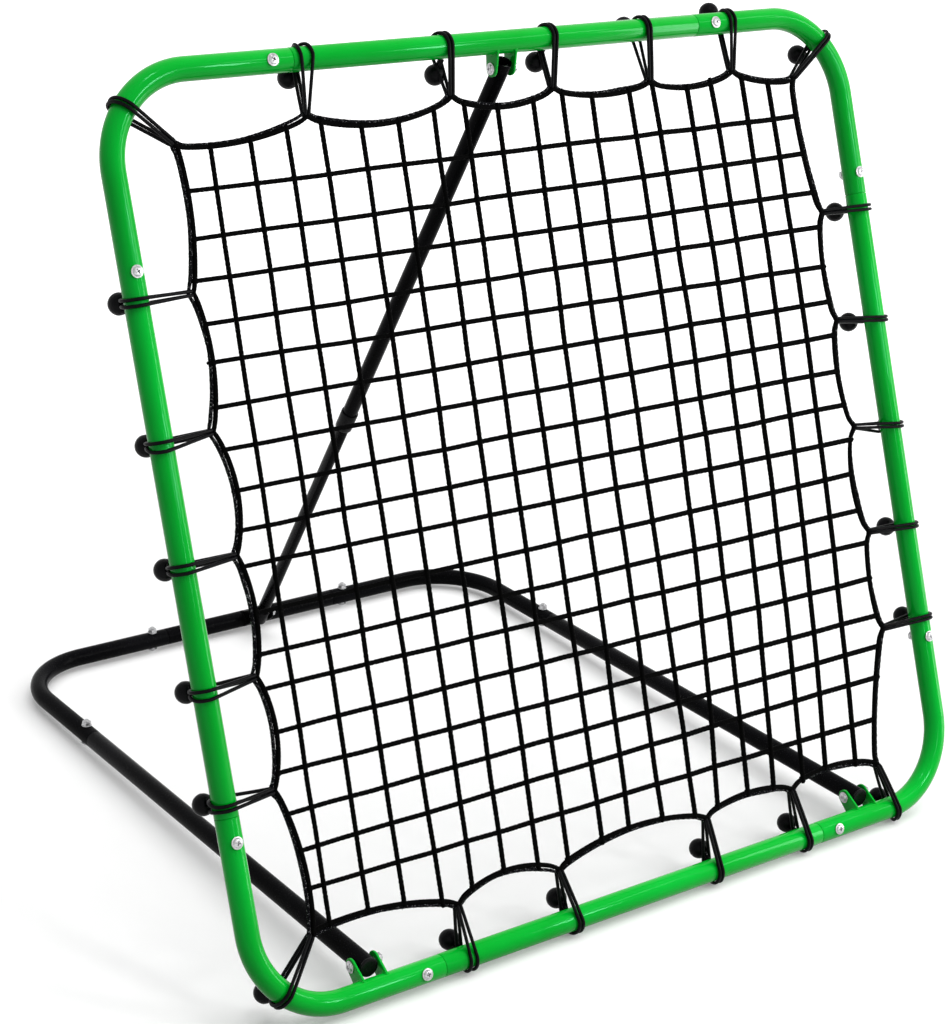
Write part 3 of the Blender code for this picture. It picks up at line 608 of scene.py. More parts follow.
def ear_pair(form, centre, pivot, root, gap):
    """Two plates square to X out of a tube, with rounded edges and weld beads at their roots."""
    reach = np.array(pivot)
    along = unit(reach)
    across = np.array([-along[1], along[0]])
    outline = []
    for step in range(EAR_STEPS + 1):
        angle = pi * (step / EAR_STEPS - 0.5)
        rim = along * cos(angle) + across * sin(angle)
        outline.append(reach + rim * EAR_TIP_RADIUS)
    outline += [across * root * EAR_ROOT, across * root * -EAR_ROOT]
    area = sum(a[0] * b[1] - a[1] * b[0] for a, b in zip(outline, outline[1:] + outline[:1]))
    if area < 0:
        outline.reverse()
    for low in (-gap / 2 - EAR_THICKNESS, gap / 2):
        rows = []
        for edge, sign in ((low, 1), (low + EAR_THICKNESS, -1)):
            band = []
            for step, drop in rounded(0, 0, EAR_ROUND):
                x = edge + sign * step
                flat = offset_outline(outline, -drop)
                band.append([(centre.x + x, centre.y + y, centre.z + z) for y, z in flat])
            rows += band if sign > 0 else band[::-1]
        form.shell(rows)
        for face in (low, low + EAR_THICKNESS):
            weld(form, centre, along, face, root)


def weld(form, centre, along, face, root):
    """A rippled bead where a plate's face meets the tube's round."""
    half = asin(min(EAR_ROOT, WELD_REACH / root))
    middle_angle = atan2(along[1], along[0])
    radius = root + BEVEL
    centres, radii = [], []
    for step in range(WELD_STEPS + 1):
        share = step / WELD_STEPS
        angle = middle_angle + half * (2 * share - 1)
        y, z = centre.y + radius * cos(angle), centre.z + radius * sin(angle)
        centres.append((centre.x + face, y, z))
        ripple = WELD_RIPPLE * sin(share * WELD_RIPPLE_TURN)
        ripple += WELD_ROUGH * random.uniform(-1, 1)
        swell = WELD_RADIUS + WELD_SWELL * sin(share * pi)
        taper = WELD_TAPER if step in (0, WELD_STEPS) else 1
        radii.append(max(swell + ripple, WELD_LEAST) * taper)
    form.shell(rings(centres, radii, WELD_SIDES, X_AXIS))


# Bolts

def nut_rings(top, height, radius):
    """A hexagon nut's rings, its corners chamfered like a turned cone cuts them."""
    angle = tau * (np.arange(TUBE_SIDES) + 0.5) / TUBE_SIDES
    face = cos(pi / 6)
    hexed = radius * (face / np.cos(np.mod(angle, pi / 3) - pi / 6))
    flat = np.full(TUBE_SIDES, radius * face * NUT_FACE)
    drop = np.maximum(hexed - flat, 0) * NUT_CHAMFER
    bore = np.full(TUBE_SIDES, NUT_BORE)
    upper, lower = np.full(TUBE_SIDES, top), np.full(TUBE_SIDES, top - height)
    levels = [(bore, upper), (flat, upper), (hexed, upper - drop), (hexed, lower + drop),
              (flat, lower), (bore, lower)]
    return [np.stack([r * np.cos(angle), r * np.sin(angle), z], 1) for r, z in levels]


def thread(angle, along):
    wave = np.mod(along / THREAD_PITCH + angle / tau, 1.0)
    return 1 - THREAD_DEPTH * np.abs(2 * wave - 1)


def pan_head(seat):
    """A washer-faced pan head, as rings from its neck up over the flange and the crown."""
    profile = [(seat - HEAD_NECK_DEPTH, HEAD_NECK_RADIUS), (seat, HEAD_NECK_RADIUS)]
    profile.append((seat, HEAD_RADIUS - BEVEL))
    top = seat + FLANGE_TOP
    profile += [(top + drop, HEAD_RADIUS - step) for step, drop in rounded(0, 0, FLANGE_ROUND)]
    profile.append((top, CROWN_RADIUS + FLANGE_ROUND))
    for turn in range(0, 91, 10):
        angle = radians(turn)
        rise = (HEAD_HEIGHT - CROWN_SEAT) * sin(angle)
        radius = CROWN_RADIUS * cos(angle) ** CROWN_POWER
        profile.append((seat + CROWN_SEAT + rise, max(radius, BEVEL)))
    return turned(profile, TUBE_SIDES)


def cross_cutter(seat):
    """A tapered cross-shaped plug, deeper at its middle."""
    rows = []
    for height, arm, half in CROSS:
        row = []
        for quarter in range(4):
            turn = Matrix.Rotation(pi / 2 * quarter, 2)
            for corner in ((half, half), (half, arm), (-half, arm)):
                row.append((*(turn @ Vector(corner)), seat + height))
        rows.append(row)
    return Form(rows).mesh("cross")


def bolt(name, grip):
    """A bolt along Z: head seated at half the grip above the origin, nut and thread below it."""
    seat = grip / 2
    made = cut(Form(pan_head(seat)).mesh(name + "_head"), cross_cutter(seat))
    tail = -seat - NUT_HEIGHT - BOLT_PROUD
    rest = Form(turned([(seat, SHANK_RADIUS), (-seat, SHANK_RADIUS)], SHANK_SIDES))
    rest.shell(nut_rings(-seat - WASHER, NUT_HEIGHT - WASHER, NUT_RADIUS), closed=True)
    disc = [(-seat - depth, radius) for depth, radius in DISC]
    rest.shell(turned(disc, DISC_SIDES), closed=True)
    places = np.linspace(-seat - THREAD_START, tail + TAIL_CHAMFER, THREAD_RINGS)
    profile = [(p, BOLT_RADIUS) for p in places] + [(tail, TAIL_RADIUS)]
    rest.shell(turned(profile, THREAD_SIDES, shape=thread))
    return joined(name, [made, rest.mesh(name + "_rest")])


def joined(name, meshes):
    """One mesh of several, which are used up."""
    bm = bmesh.new()
    for mesh in meshes:
        bm.from_mesh(mesh)
        bpy.data.meshes.remove(mesh)
    made = bpy.data.meshes.new(name)
    bm.to_mesh(made)
    bm.free()
    made.shade_smooth()
    made.set_sharp_from_angle(angle=radians(BOLT_SHARP_ANGLE))
    return made


def show_bolt(node, mesh, body, place):
    show(node + "_form", mesh.copy(), "zinc_plate", body, place, node)


def spin():
    return Matrix.Rotation(random.uniform(0, pi), 4, "Z")


# Front frame

def corner_point(side, end):
    x = HALF_WIDTH * (1 if side == "right" else -1)
    return Vector((x, 0, FRAME_HEIGHT if end == "top" else 0))


def make_front_frame():
    green = "green_powder_coat"
    ears = 2 * EAR_THICKNESS + 2 * GAP
    shared = bolt("frame_bolt_form", 2 * FRAME_RADIUS + 2 * GAP)
    leg_bolt = bolt("leg_bolt_form", LEG_EAR_GAP + ears)
    top_bolt = bolt("strut_bolt_form", STRUT_EAR_GAP + ears)
    for end in ("top", "bottom"):
        for side in ("left", "right"):
            corner = corner_point(side, end)
            along = X_AXIS if side == "left" else -X_AXIS
            inward = -Z_AXIS if end == "top" else Z_AXIS
            for arm, way in (("across", along), ("upright", inward)):
                place = PLANE @ moved(*(corner + way * FRAME_BOLT)) @ turned_x(pi / 2)
                show_bolt(f"frame_bolt_{end}_{side}_{arm}", shared, "front_frame", place @ spin())
            form = bend_tube(corner, along, inward, FRAME_BEND, FRAME_SEAM, *FRAME_TUBE, Y_AXIS)
            if end == "bottom":
                foot = Vector((copysign(LEG_SPACING / 2, corner.x), 0, 0))
                ear_pair(form, foot, LEG_PIVOT, FRAME_RADIUS, LEG_EAR_GAP)
                place = PLANE @ moved(*(foot + Vector((0, *LEG_PIVOT)))) @ BOLT_ACROSS
                show_bolt(f"pivot_bolt_{side}_leg", leg_bolt, "front_frame", place)
            show_form(f"frame_corner_{end}_{side}", form, green, "front_frame", PLANE)
    for name in ("top", "bottom", "left", "right"):
        if name in ("top", "bottom"):
            way, ends = X_AXIS, [corner_point(side, name) for side in ("left", "right")]
        else:
            way, ends = Z_AXIS, [corner_point(name, end) for end in ("bottom", "top")]
        seam = way * (FRAME_SEAM + GAP)
        form = straight_tube(ends[0] + seam, ends[1] - seam, *FRAME_TUBE)
        if name == "top":
            centre = Vector((0, 0, FRAME_HEIGHT))
            ear_pair(form, centre, TOP_PIVOT, FRAME_RADIUS, STRUT_EAR_GAP)
        show_form(f"frame_tube_{name}", form, green, "front_frame", PLANE)
    place = PLANE @ moved(0, TOP_PIVOT[0], FRAME_HEIGHT + TOP_PIVOT[1]) @ BOLT_ACROSS
    show_bolt("pivot_bolt_strut_top", top_bolt, "front_frame", place)
    place = LEVEL @ moved(0, *REAR_PIVOT) @ BOLT_ACROSS
    show_bolt("pivot_bolt_strut_rear", top_bolt, "base", place)


# Base

def make_base():
    black = "black_powder_coat"
    half = LEG_SPACING / 2
    rear = Vector((0, LEG_REACH, 0))
    shared = bolt("base_bolt_form", 2 * BASE_RADIUS + 2 * GAP)
    for side, sign in (("left", -1), ("right", 1)):
        corner = Vector((sign * half, LEG_REACH, 0))
        along = X_AXIS * -sign
        for arm, way in (("across", along), ("leg", -Y_AXIS)):
            local = corner + way * BASE_BOLT
            place = LEVEL @ moved(*(local - rear)) if arm == "across" else BASE @ moved(*local)
            place = place @ turned_x(pi) @ spin()
            show_bolt(f"base_bolt_{side}_{arm}", shared, "base", place)
        form = bend_tube(corner, along, -Y_AXIS, BASE_BEND, BASE_SEAM, *BASE_TUBE, Z_AXIS)
        show_form(f"base_corner_{side}", form, black, "base", BASE)
        start = Vector((sign * half, -LEG_OVERHANG, 0))
        end = corner - Y_AXIS * (BASE_SEAM + GAP)
        form = straight_tube(start, end, *BASE_TUBE, Z_AXIS, (False, True))
        show_form(f"base_leg_{side}", form, black, "base", BASE)
        make_plug(f"leg_plug_{side}", start)
    reach = half - BASE_SEAM - GAP
    form = straight_tube(X_AXIS * -reach, X_AXIS * reach, *BASE_TUBE, Z_AXIS)
    ear_pair(form, Vector(), REAR_PIVOT, BASE_RADIUS, STRUT_EAR_GAP)
    show_form("base_crossbar", form, black, "base", LEVEL)


def make_plug(node, end):
    """A moulded plug: a rounded flange over the tube's end, its stem inside."""
    stem = BASE_RADIUS - 2 * BASE_WALL - 2 * GAP
    face = -PLUG_FLANGE - GAP
    profile = [(face + depth, radius) for depth, radius in PLUG_DISH]
    profile += rounded(face, BASE_RADIUS, PLUG_ROUND, range(0, 91, 15))
    profile += [(-GAP - BEVEL, BASE_RADIUS), (-GAP, BASE_RADIUS - BEVEL), (-GAP, stem)]
    profile.append((PLUG_STEM, stem))
    form = Form(turned(profile, TUBE_SIDES, end, Y_AXIS, Z_AXIS))
    show_form(node, form, "black_plastic", "base", BASE)


# Strut

def slot_cutter():
    """The widened hole of the lower pivot, through both walls."""
    across, along = BOLT_RADIUS + GAP + PLAY_ACROSS, BOLT_RADIUS + GAP + PLAY_ALONG
    turns = [tau * step / SLOT_SIDES for step in range(SLOT_SIDES)]
    rows = [[(x, across * cos(a), along * sin(a)) for a in turns]
            for x in (-SLOT_REACH, SLOT_REACH)]
    return Form(rows).mesh("slot")


def collar_profile():
    """The collar's section, from its seat under the outer tube round the lip to its top."""
    low, seat = -STRUT_LENGTH - COLLAR_LIP - GAP, -STRUT_LENGTH - GAP
    sleeve, lip = STRUT_RADIUS + GAP, INNER_RADIUS + GAP
    outside, top = sleeve + COLLAR_WALL, low + COLLAR_LENGTH
    profile = [(seat, sleeve), (seat, lip), (low, lip)]
    profile += [(low + up, outside - depth) for up, depth in COLLAR_LOW_EDGE]
    for place in GROOVE_PLACES:
        profile += [(low + place + up, outside - depth) for up, depth in GROOVE]
    profile += [(top - down, outside - depth) for down, depth in COLLAR_TOP_EDGE]
    return profile + [(top, sleeve)]


def cap_profile():
    """The end cap's section, from the middle of its end round the outside and back inside."""
    sleeve, seat = INNER_RADIUS + GAP, -INNER_OVERHANG - GAP
    outside, low = sleeve + CAP_WALL, seat - CAP_END
    top = low + CAP_LENGTH
    profile = [(low, CAP_HOLE)] + rounded(low, outside, CAP_ROUND, range(0, 91, 15))
    profile += [(top - CAP_EDGE[0], outside), (top, outside - CAP_EDGE[1]), (top, sleeve)]
    return profile + [(seat, sleeve), (seat, CAP_HOLE)]


def make_strut():
    black, plastic, whole = "black_powder_coat", "black_plastic", (False, False)
    top, end = Z_AXIS * STRUT_OVERHANG, Z_AXIS * -STRUT_LENGTH
    form = straight_tube(top, end, STRUT_RADIUS, STRUT_WALL, narrowed=whole)
    show_form("strut_outer_tube", form, black, "strut_upper", SWING)
    form = Form(turned(collar_profile(), TUBE_SIDES, normal=Y_AXIS), closed=True)
    show_form("strut_collar", form, plastic, "strut_upper", SWING)
    top, end = Z_AXIS * (REACH - STRUT_LENGTH + INNER_INSERTED), Z_AXIS * -INNER_OVERHANG
    form = straight_tube(top, end, INNER_RADIUS, INNER_WALL, narrowed=whole)
    made = cut(form.mesh("strut_inner"), slot_cutter())
    show("strut_inner_tube_form", made, black, "strut_lower", SLIDE, "strut_inner_tube")
    form = Form(turned(cap_profile(), TUBE_SIDES, normal=Y_AXIS))
    made = cut(form.mesh("strut_cap"), slot_cutter())
    show("strut_end_cap_form", made, plastic, "strut_lower", SLIDE, "strut_end_cap")


# Bungees

def hooks():
    """Every bungee clockwise from the top left corner, as the front shows them."""
    found = []

    def add(name, tube, hook, inward, corner, angle, shift, sag, pull, aside, *lie):
        hook = hook + (inward * pull + Y_AXIS.cross(inward) * aside) * MM
        found.append({
            "name": "bungee_" + name, "tube": tube, "hook": hook, "inward": inward,
            "corner": corner, "angle": angle, "shift": shift, "sag": sag, "pull": pull * MM,
            "lie": lie,
        })

    def on_tube(label, line, inset, inward):
        upright = label in ("left", "right")
        along = Z_AXIS if upright else X_AXIS
        origins = {"left": -HALF_WIDTH, "right": HALF_WIDTH, "bottom": 0.0, "top": FRAME_HEIGHT,
                   "middle": FRAME_HEIGHT / 2 if upright else 0.0}
        for number, (origin, place, hook, *rest) in enumerate(BUNGEES[label], 1):
            start = origins[origin]
            tube = line + along * (start + place)
            hook = line + along * (start + hook) + inward * inset
            add(f"{label}_{number}", tube, hook, inward, False, *rest)

    def on_bend(end, side):
        name = f"{end}_{side}"
        turn, inset_x, inset_z, angle, shift, *rest, more = CORNER_BUNGEES[name]
        turn, shift = radians(turn + more), shift - radians(more) * FRAME_BEND
        corner = corner_point(side, end)
        sign = Vector((-1 if side == "right" else 1, 0, -1 if end == "top" else 1))
        out = Vector((cos(turn), 0, sin(turn)))
        tube = corner + sign * FRAME_BEND + out * FRAME_BEND
        hook = corner + Vector((sign.x * inset_x, 0, sign.z * inset_z))
        add("corner_" + name, tube, hook, -out, True, angle, shift, *rest)

    on_bend("top", "left")
    on_tube("top", Z_AXIS * FRAME_HEIGHT, INSET_TOP, -Z_AXIS)
    on_bend("top", "right")
    on_tube("right", X_AXIS * HALF_WIDTH, INSET_SIDE, -X_AXIS)
    on_bend("bottom", "right")
    on_tube("bottom", Vector(), INSET_BOTTOM, Z_AXIS)
    on_bend("bottom", "left")
    on_tube("left", X_AXIS * -HALF_WIDTH, INSET_SIDE, X_AXIS)
    for here, after in zip(found, found[1:] + found[:1]):
        here["sag"] -= (here["pull"] + after["pull"]) / 2
    return found


def belt(reach, corner):
    """The centre line of a cord round the tube and the rope, as (towards the net, back) points."""
    tube = FRAME_RADIUS + (CORNER_SLACK if corner else GAP) + VISIBLE_CORD
    rope = VISIBLE_ROPE * PINCH + VISIBLE_CORD
    centre = reach + HOOK_INSET
    tangent = acos((tube - rope) / centre)

    def arc(place, radius, start, end, count):
        turns = np.linspace(start, end, count)
        return [(place + radius * cos(a), radius * sin(a)) for a in turns]

    def run(start, end):
        start, end = np.array(start), np.array(end)
        return [tuple(start + (end - start) * share) for share in RUN_SHARES]

    hook = arc(centre, rope, -tangent, tangent, HOOK_POINTS)
    back = arc(0, tube, tangent, tau - tangent, BACK_POINTS)
    return hook + run(hook[-1], back[0]) + back + run(back[-1], hook[0])


def make_bungee(bungee):
    """Two cords side by side round tube and border, and the ball that their ends run into."""
    inward = bungee["inward"]
    sideways = Y_AXIS.cross(inward)
    span = bungee["hook"] - bungee["tube"]
    reach, skew = span.dot(inward), span.dot(sideways)
    front_place, front_half, back_half = (value * MM for value in bungee["lie"])
    form = Form()
    for side in (-1, 1):
        path = []
        for towards, back in belt(reach, bungee["corner"]):
            near = 0.5 - 0.5 * tanh(back / BACK_BLEND)
            start = FRAME_RADIUS * (LEAN_START - LEAN_SOONER * near)
            share = min(max((towards - start) / (reach - start), 0.0), 1.0)
            at_tube = near * (front_place + side * front_half)
            at_tube += (1 - near) * (bungee["shift"] * BACK_SHIFT + side * back_half)
            at_hook = skew + side * VISIBLE_CORD * HOOK_SPREAD
            aside = at_hook * share + at_tube * (1 - share)
            path.append(inward * towards + Y_AXIS * back + sideways * aside)
        form.shell(rings(path, VISIBLE_CORD, CORD_SIDES, sideways, closed=True), closed=True)
    ball_parts(form, bungee, sideways)
    place = PLANE @ moved(*bungee["tube"])
    show_form(bungee["name"], form, "bungee_rubber", "front_frame", place)


def ball_parts(form, bungee, sideways):
    """The ball with its seam and mouth, and the two cord ends that run into it."""
    turn = radians(bungee["angle"])
    around = bungee["inward"] * cos(turn) + Y_AXIS * sin(turn)
    surface = FRAME_RADIUS + (CORNER_SLACK if bungee["corner"] else GAP) + CORD_THICKNESS
    centre = around * (surface + NECK_LENGTH + BALL_RADIUS) + sideways * bungee["shift"]
    out = centre.normalized()
    normal = sideways.cross(out).normalized()
    profile = [(depth - BALL_RADIUS, radius) for depth, radius in MOUTH]
    for step in range(1, BALL_RINGS):
        angle = MOUTH_ANGLE + (pi - MOUTH_ANGLE) * step / BALL_RINGS
        radius = BALL_RADIUS * (1 + (BALL_SEAM_SWELL if step == BALL_SEAM_RING else 0))
        profile.append((-radius * cos(angle), radius * sin(angle)))
    profile.append((BALL_RADIUS, BEVEL))
    form.shell(turned(profile, BALL_SIDES, centre, out, normal))
    along = out.cross(sideways).normalized()
    root, mouth = surface - ENDS_SUNK, surface + NECK_LENGTH + ENDS_SUNK
    for side in (-1, 1):
        path = []
        for share in np.linspace(0, 1, ENDS_RINGS):
            offset = along * (side * VISIBLE_CORD * (1 + ENDS_SPREAD * (1 - share)))
            path.append(out * (root + (mouth - root) * share) + offset)
        form.shell(rings(path, VISIBLE_CORD, CORD_SIDES, sideways))


# Net, its edge twine and the border rope

def spans(found):
    made = []
    for here, after in zip(found, found[1:] + found[:1]):
        along = (after["hook"] - here["hook"]).normalized()
        made.append((here, after, Y_AXIS.cross(along)))
    return made


def wander(seed, count, scale, size):
    """A slow random wave of count values, scale of them to a swing, the same each run."""
    rng = np.random.default_rng(seed)
    knots = rng.uniform(-1, 1, int(count / scale) + 4)
    places = np.linspace(0, len(knots) - 3, count)
    return np.interp(places, np.arange(len(knots)), knots) * size


def border(found, insets, backs):
    """The scalloped border's line, and how hard each of its points is pinched.

    insets and backs give its places between two hooks and at a hook.
    """
    points, pinch = [], []
    for here, after, inward in spans(found):
        length = (after["hook"] - here["hook"]).length
        for step in range(BORDER_STEPS):
            share = step / BORDER_STEPS
            bow = 4 * share * (1 - share)
            edge = min(share, 1 - share) * length
            held = exp(-((edge / HOOK_WIDTH) ** 2))
            inset, back = (free * (1 - held) + hooked * held for free, hooked in (insets, backs))
            point = here["hook"].lerp(after["hook"], share) + inward * (here["sag"] * bow + inset)
            points.append(point + Y_AXIS * back)
            pinch.append(held)
    return np.array(points), np.array(pinch)


def twist(plies, lay, depth):
    """The outline of a cord laid up from plies, for rings()."""
    return lambda angle, along: 1 - depth + depth * np.abs(
        np.cos(plies / 2 * (angle - tau * along / lay))
    )


def strand_ends(points, axis, at):
    """The lowest and highest place where the border crosses the line that at gives along axis."""
    here, off = points[:, axis], points[:, 2 - axis] - at(points[:, axis])
    after, after_off = np.roll(here, -1), np.roll(off, -1)
    hit = off * after_off < 0
    share = off[hit] / (off[hit] - after_off[hit])
    found = here[hit] + (after[hit] - here[hit]) * share
    return found.min(), found.max()


def upright_at(row):
    """x of an upright at each height, from its three measured places."""
    fit = np.polyfit(UPRIGHT_HEIGHTS, np.array(row) * MM, 2)
    return lambda z: np.polyval(fit, z)


def row_at(row):
    """z of a row at each x, from its two measured places."""
    slope = (row[1] - row[0]) * MM / ROW_LENGTH
    return lambda x: row[0] * MM + slope * (np.asarray(x) - ROW_START)


def strand(number, axis, at, low, high):
    """A strand's rings: tied at both ends, some tails left long, with a slow sway."""
    ends = [low - STRAND_TIE, high + STRAND_TIE]
    rng = random.Random(number * 2 + axis)
    for k, sign in ((0, -1), (1, 1)):
        if rng.random() < TAIL_SHARE:
            ends[k] += sign * rng.uniform(*TAIL_LENGTHS)
    run = np.linspace(*ends, STRAND_POINTS)
    points = np.zeros((STRAND_POINTS, 3))
    points[:, axis] = run
    points[:, 2 - axis] = at(run) + wander(number * 7 + axis, STRAND_POINTS, *STRAND_SWAY)
    points[:, 1] = -STRAND_LIFT if axis == 2 else STRAND_LIFT
    points[:, 1] += wander(number * 11 + axis, STRAND_POINTS, *STRAND_RISE)
    radii = STRAND_RADIUS + STRAND_SPREAD * points[:, 0] / FIELD_HALF
    radii[[0, -1]] *= STRAND_END
    return rings(points, radii, STRAND_SIDES, Y_AXIS, shape=twist(*STRAND_LAY))


def make_net(found):
    insets, backs = (TWINE_INSET, TWINE_HOOK_INSET), (0.0, TWINE_HOOK_BACK)
    twine, pinch = border(found, insets, backs)
    fine, radii = denser(twine, TWINE_RADIUS * (1 - TWINE_PINCH * pinch), TWINE_DETAIL)
    laid = rings(fine, radii, TWINE_SIDES, Y_AXIS, closed=True, shape=twist(*TWINE_LAY))
    edge, uprights, rows = Form(laid, closed=True), Form(), Form()
    for form, table, axis, line in ((uprights, UPRIGHTS, 2, upright_at), (rows, ROWS, 0, row_at)):
        for number, row in enumerate(table):
            at = line(row)
            ends = strand_ends(twine, axis, at)
            form.shell(strand(number, axis, at, *ends))
            for end in ends:
                place = np.zeros(3)
                place[axis], place[2 - axis] = end, at(end)
                knot(edge, place, EDGE_KNOTS[axis])
    for upright in UPRIGHTS:
        x_at = upright_at(upright)
        for row in ROWS:
            z_at = row_at(row)
            z = FIELD_MIDDLE
            for _ in range(CROSSING_PASSES):
                z = float(z_at(x_at(z)))
            knot(rows, (float(x_at(z)), 0.0, z), CROSSING_KNOT)
    for name, form in (("net_edge_twine", edge), ("net_uprights", uprights), ("net_rows", rows)):
        show(name, form.mesh(name), "net_cord", "front_frame", PLANE, "net")


def denser(points, radii, times):
    """A closed path with more points, by a smooth curve through each four."""
    p = [np.roll(points, k, 0) for k in (1, 0, -1, -2)]
    r = [np.roll(radii, k, 0) for k in (0, -1)]
    made, sizes = [], []
    for k in range(times):
        t = k / times
        a = -0.5 * t + t * t - 0.5 * t**3
        b = 1 - 2.5 * t * t + 1.5 * t**3
        c = 0.5 * t + 2 * t * t - 1.5 * t**3
        d = -0.5 * t * t + 0.5 * t**3
        made.append(a * p[0] + b * p[1] + c * p[2] + d * p[3])
        sizes.append(r[0] * (1 - t) + r[1] * t)
    return np.stack(made, 1).reshape(-1, 3), np.stack(sizes, 1).ravel()


def knot(form, place, sizes):
    """A small lumpy hitch where two strands cross."""
    rows = []
    for ring in range(1, KNOT_RINGS):
        polar = pi * ring / KNOT_RINGS
        row = []
        for side in range(KNOT_SIDES):
            angle = tau * side / KNOT_SIDES
            lump = 1 + KNOT_LUMP * cos(2 * angle + ring)
            way = [sin(polar) * cos(angle), cos(polar), sin(polar) * sin(angle)]
            row.append(np.array(place) + np.array(way) * np.array(sizes) * lump)
        rows.append(row)
    form.shell(rows)


def braid(angle, along):
    """The outline of a plaited rope: two sets of strands that cross each other."""
    right = np.cos(PLAIT_STRANDS * (angle - tau * along / PLAIT_LENGTH))
    left = np.cos(PLAIT_STRANDS * (angle + tau * along / PLAIT_LENGTH))
    return 1 - PLAIT_DEPTH + PLAIT_DEPTH * np.maximum(right, left)


def make_rope(found):
    line, pinch = border(found, (ROPE_INSET, HOOK_INSET), (ROPE_BACK, 0.0))
    count = len(line)
    inward = np.repeat([tuple(way) for _, _, way in spans(found)], BORDER_STEPS, axis=0)
    drift = wander(3, count, *ROPE_DRIFT)
    line = line - inward * (drift * (1 - pinch))[:, None]
    radii = VISIBLE_ROPE * (1 - (1 - PINCH) * pinch) * (1 + wander(5, count, *ROPE_UNEVEN))
    fine, sizes = denser(line, radii, ROPE_DETAIL)
    form = Form(rings(fine, sizes, ROPE_SIDES, Y_AXIS, closed=True, shape=braid), closed=True)
    show_form("border_rope", form, "border_rope", "front_frame", PLANE)
    mesh = fuzz(fine, sizes).mesh("border_rope_fuzz")
    show("border_rope_fuzz", mesh, "border_rope", "front_frame", PLANE, "border_rope")


def fuzz(line, radii):
    """Loose fibres that stand out of a rope, each a small three-sided spike."""
    form = Form()
    rng = np.random.default_rng(11)
    for index in rng.integers(0, len(line), FIBRES):
        here = line[index]
        tangent = unit(here - line[index - 1])
        turn = rng.uniform(0, tau)
        across = unit(np.cross(tangent, [0, 1, 0]))
        out = across * cos(turn) + np.array([0, 1, 0]) * sin(turn)
        lean = unit(out + tangent * rng.uniform(-1.0, 1.0))
        root = here + out * radii[index] * FIBRE_ROOT
        length = rng.uniform(*FIBRE_LENGTHS)
        tip = root + lean * length + tangent * rng.uniform(-1, 1) * FIBRE_BEND
        side = unit(np.cross(lean, tangent)) * FIBRE_RADIUS
        other = unit(np.cross(lean, side)) * FIBRE_RADIUS
        rows = []
        for share, size in FIBRE_TAPER:
            point = root + (tip - root) * share
            last = point - (side + other) * size * FIBRE_FLAT
            rows.append([point + side * size, point + other * size, last])
        form.shell(rows)
    return form


# Finishes

def feed(tree, socket, value):
    """Links a socket to another, or sets it to a plain value."""
    if isinstance(value, bpy.types.NodeSocket):
        tree.links.new(value, socket)
    else:
        socket.default_value = value


def add_node(tree, kind, inputs=None, **settings):
    made = tree.nodes.new(kind)
    for name, value in settings.items():
        setattr(made, name, value)
    for name, value in (inputs or {}).items():
        feed(tree, made.inputs[name], value)
    return made


def start_finish(name):
    """A new material's tree and shader, and the place on the object that its patterns follow."""
    material = bpy.data.materials.get(name) or bpy.data.materials.new(name)
    material.use_nodes = True
    tree = material.node_tree
    tree.nodes.clear()
    output = add_node(tree, "ShaderNodeOutputMaterial")
    shader = add_node(tree, "ShaderNodeBsdfPrincipled")
    tree.links.new(shader.outputs[0], output.inputs[0])
    return tree, shader, add_node(tree, "ShaderNodeTexCoord").outputs["Object"]


def noise(tree, coords, scale, detail=3.0, roughness=0.5):
    inputs = {"Vector": coords, "Scale": scale, "Detail": detail, "Roughness": roughness}
    return add_node(tree, "ShaderNodeTexNoise", inputs).outputs["Fac"]


def ramp(tree, value, low, high, start, end):
    """The value from low to high, mapped to start and end and held there."""
    inputs = {"Value": value, "From Min": low, "From Max": high, "To Min": start, "To Max": end}
    return add_node(tree, "ShaderNodeMapRange", inputs).outputs["Result"]


def blend(tree, value, first, second):
    made = add_node(tree, "ShaderNodeMix", {"Factor": value}, data_type="RGBA")
    for number, colour in ((6, first), (7, second)):
        linked = isinstance(colour, bpy.types.NodeSocket)
        feed(tree, made.inputs[number], colour if linked else (*colour, 1.0))
    return made.outputs[2]


def calculate(tree, operation, first, second=0.0):
    return add_node(tree, "ShaderNodeMath", {0: first, 1: second}, operation=operation).outputs[0]


def bump(tree, height, distance, strength, under=None):
    inputs = {"Height": height, "Distance": distance, "Strength": strength}
    if under is not None:
        inputs["Normal"] = under
    return add_node(tree, "ShaderNodeBump", inputs).outputs["Normal"]


def set_inputs(tree, shader, **values):
    for name, value in values.items():
        feed(tree, shader.inputs[name.replace("_", " ")], value)


def set_surface(tree, shader, colour, grain, rough, skin, **values):
    """The shader's colour, its roughness between two values that the grain sets, and its skin."""
    roughness = ramp(tree, grain, *GRAIN_RANGE, *rough)
    set_inputs(tree, shader, Base_Color=colour, Roughness=roughness, Normal=skin, **values)


def coat_finish(name, dark, light, rough, peel, speckle, gloss, tint=(1, 1, 1, 1)):
    """Powder coat: cloudy colour, fine orange peel and a dusting of speckle."""
    tree, shader, coords = start_finish(name)
    cloud = noise(tree, coords, scale=9.0, detail=2.0)
    grain = noise(tree, coords, scale=700.0)
    mixed = blend(tree, ramp(tree, cloud, *CLOUD_RANGE, 0.0, 1.0), dark, light)
    fleck = [min(1, channel * FLECK_GAIN + FLECK_LIFT) for channel in light]
    flecked = blend(tree, ramp(tree, grain, *SPECKLE_RANGE, 0.0, speckle), mixed, fleck)
    skin = bump(tree, noise(tree, coords, scale=330.0, detail=2.0), 0.00035, strength=peel)
    skin = bump(tree, grain, 0.0001, strength=peel * 0.6, under=skin)
    set_surface(tree, shader, flecked, grain, rough, skin, Specular_IOR_Level=gloss,
                Specular_Tint=tint)


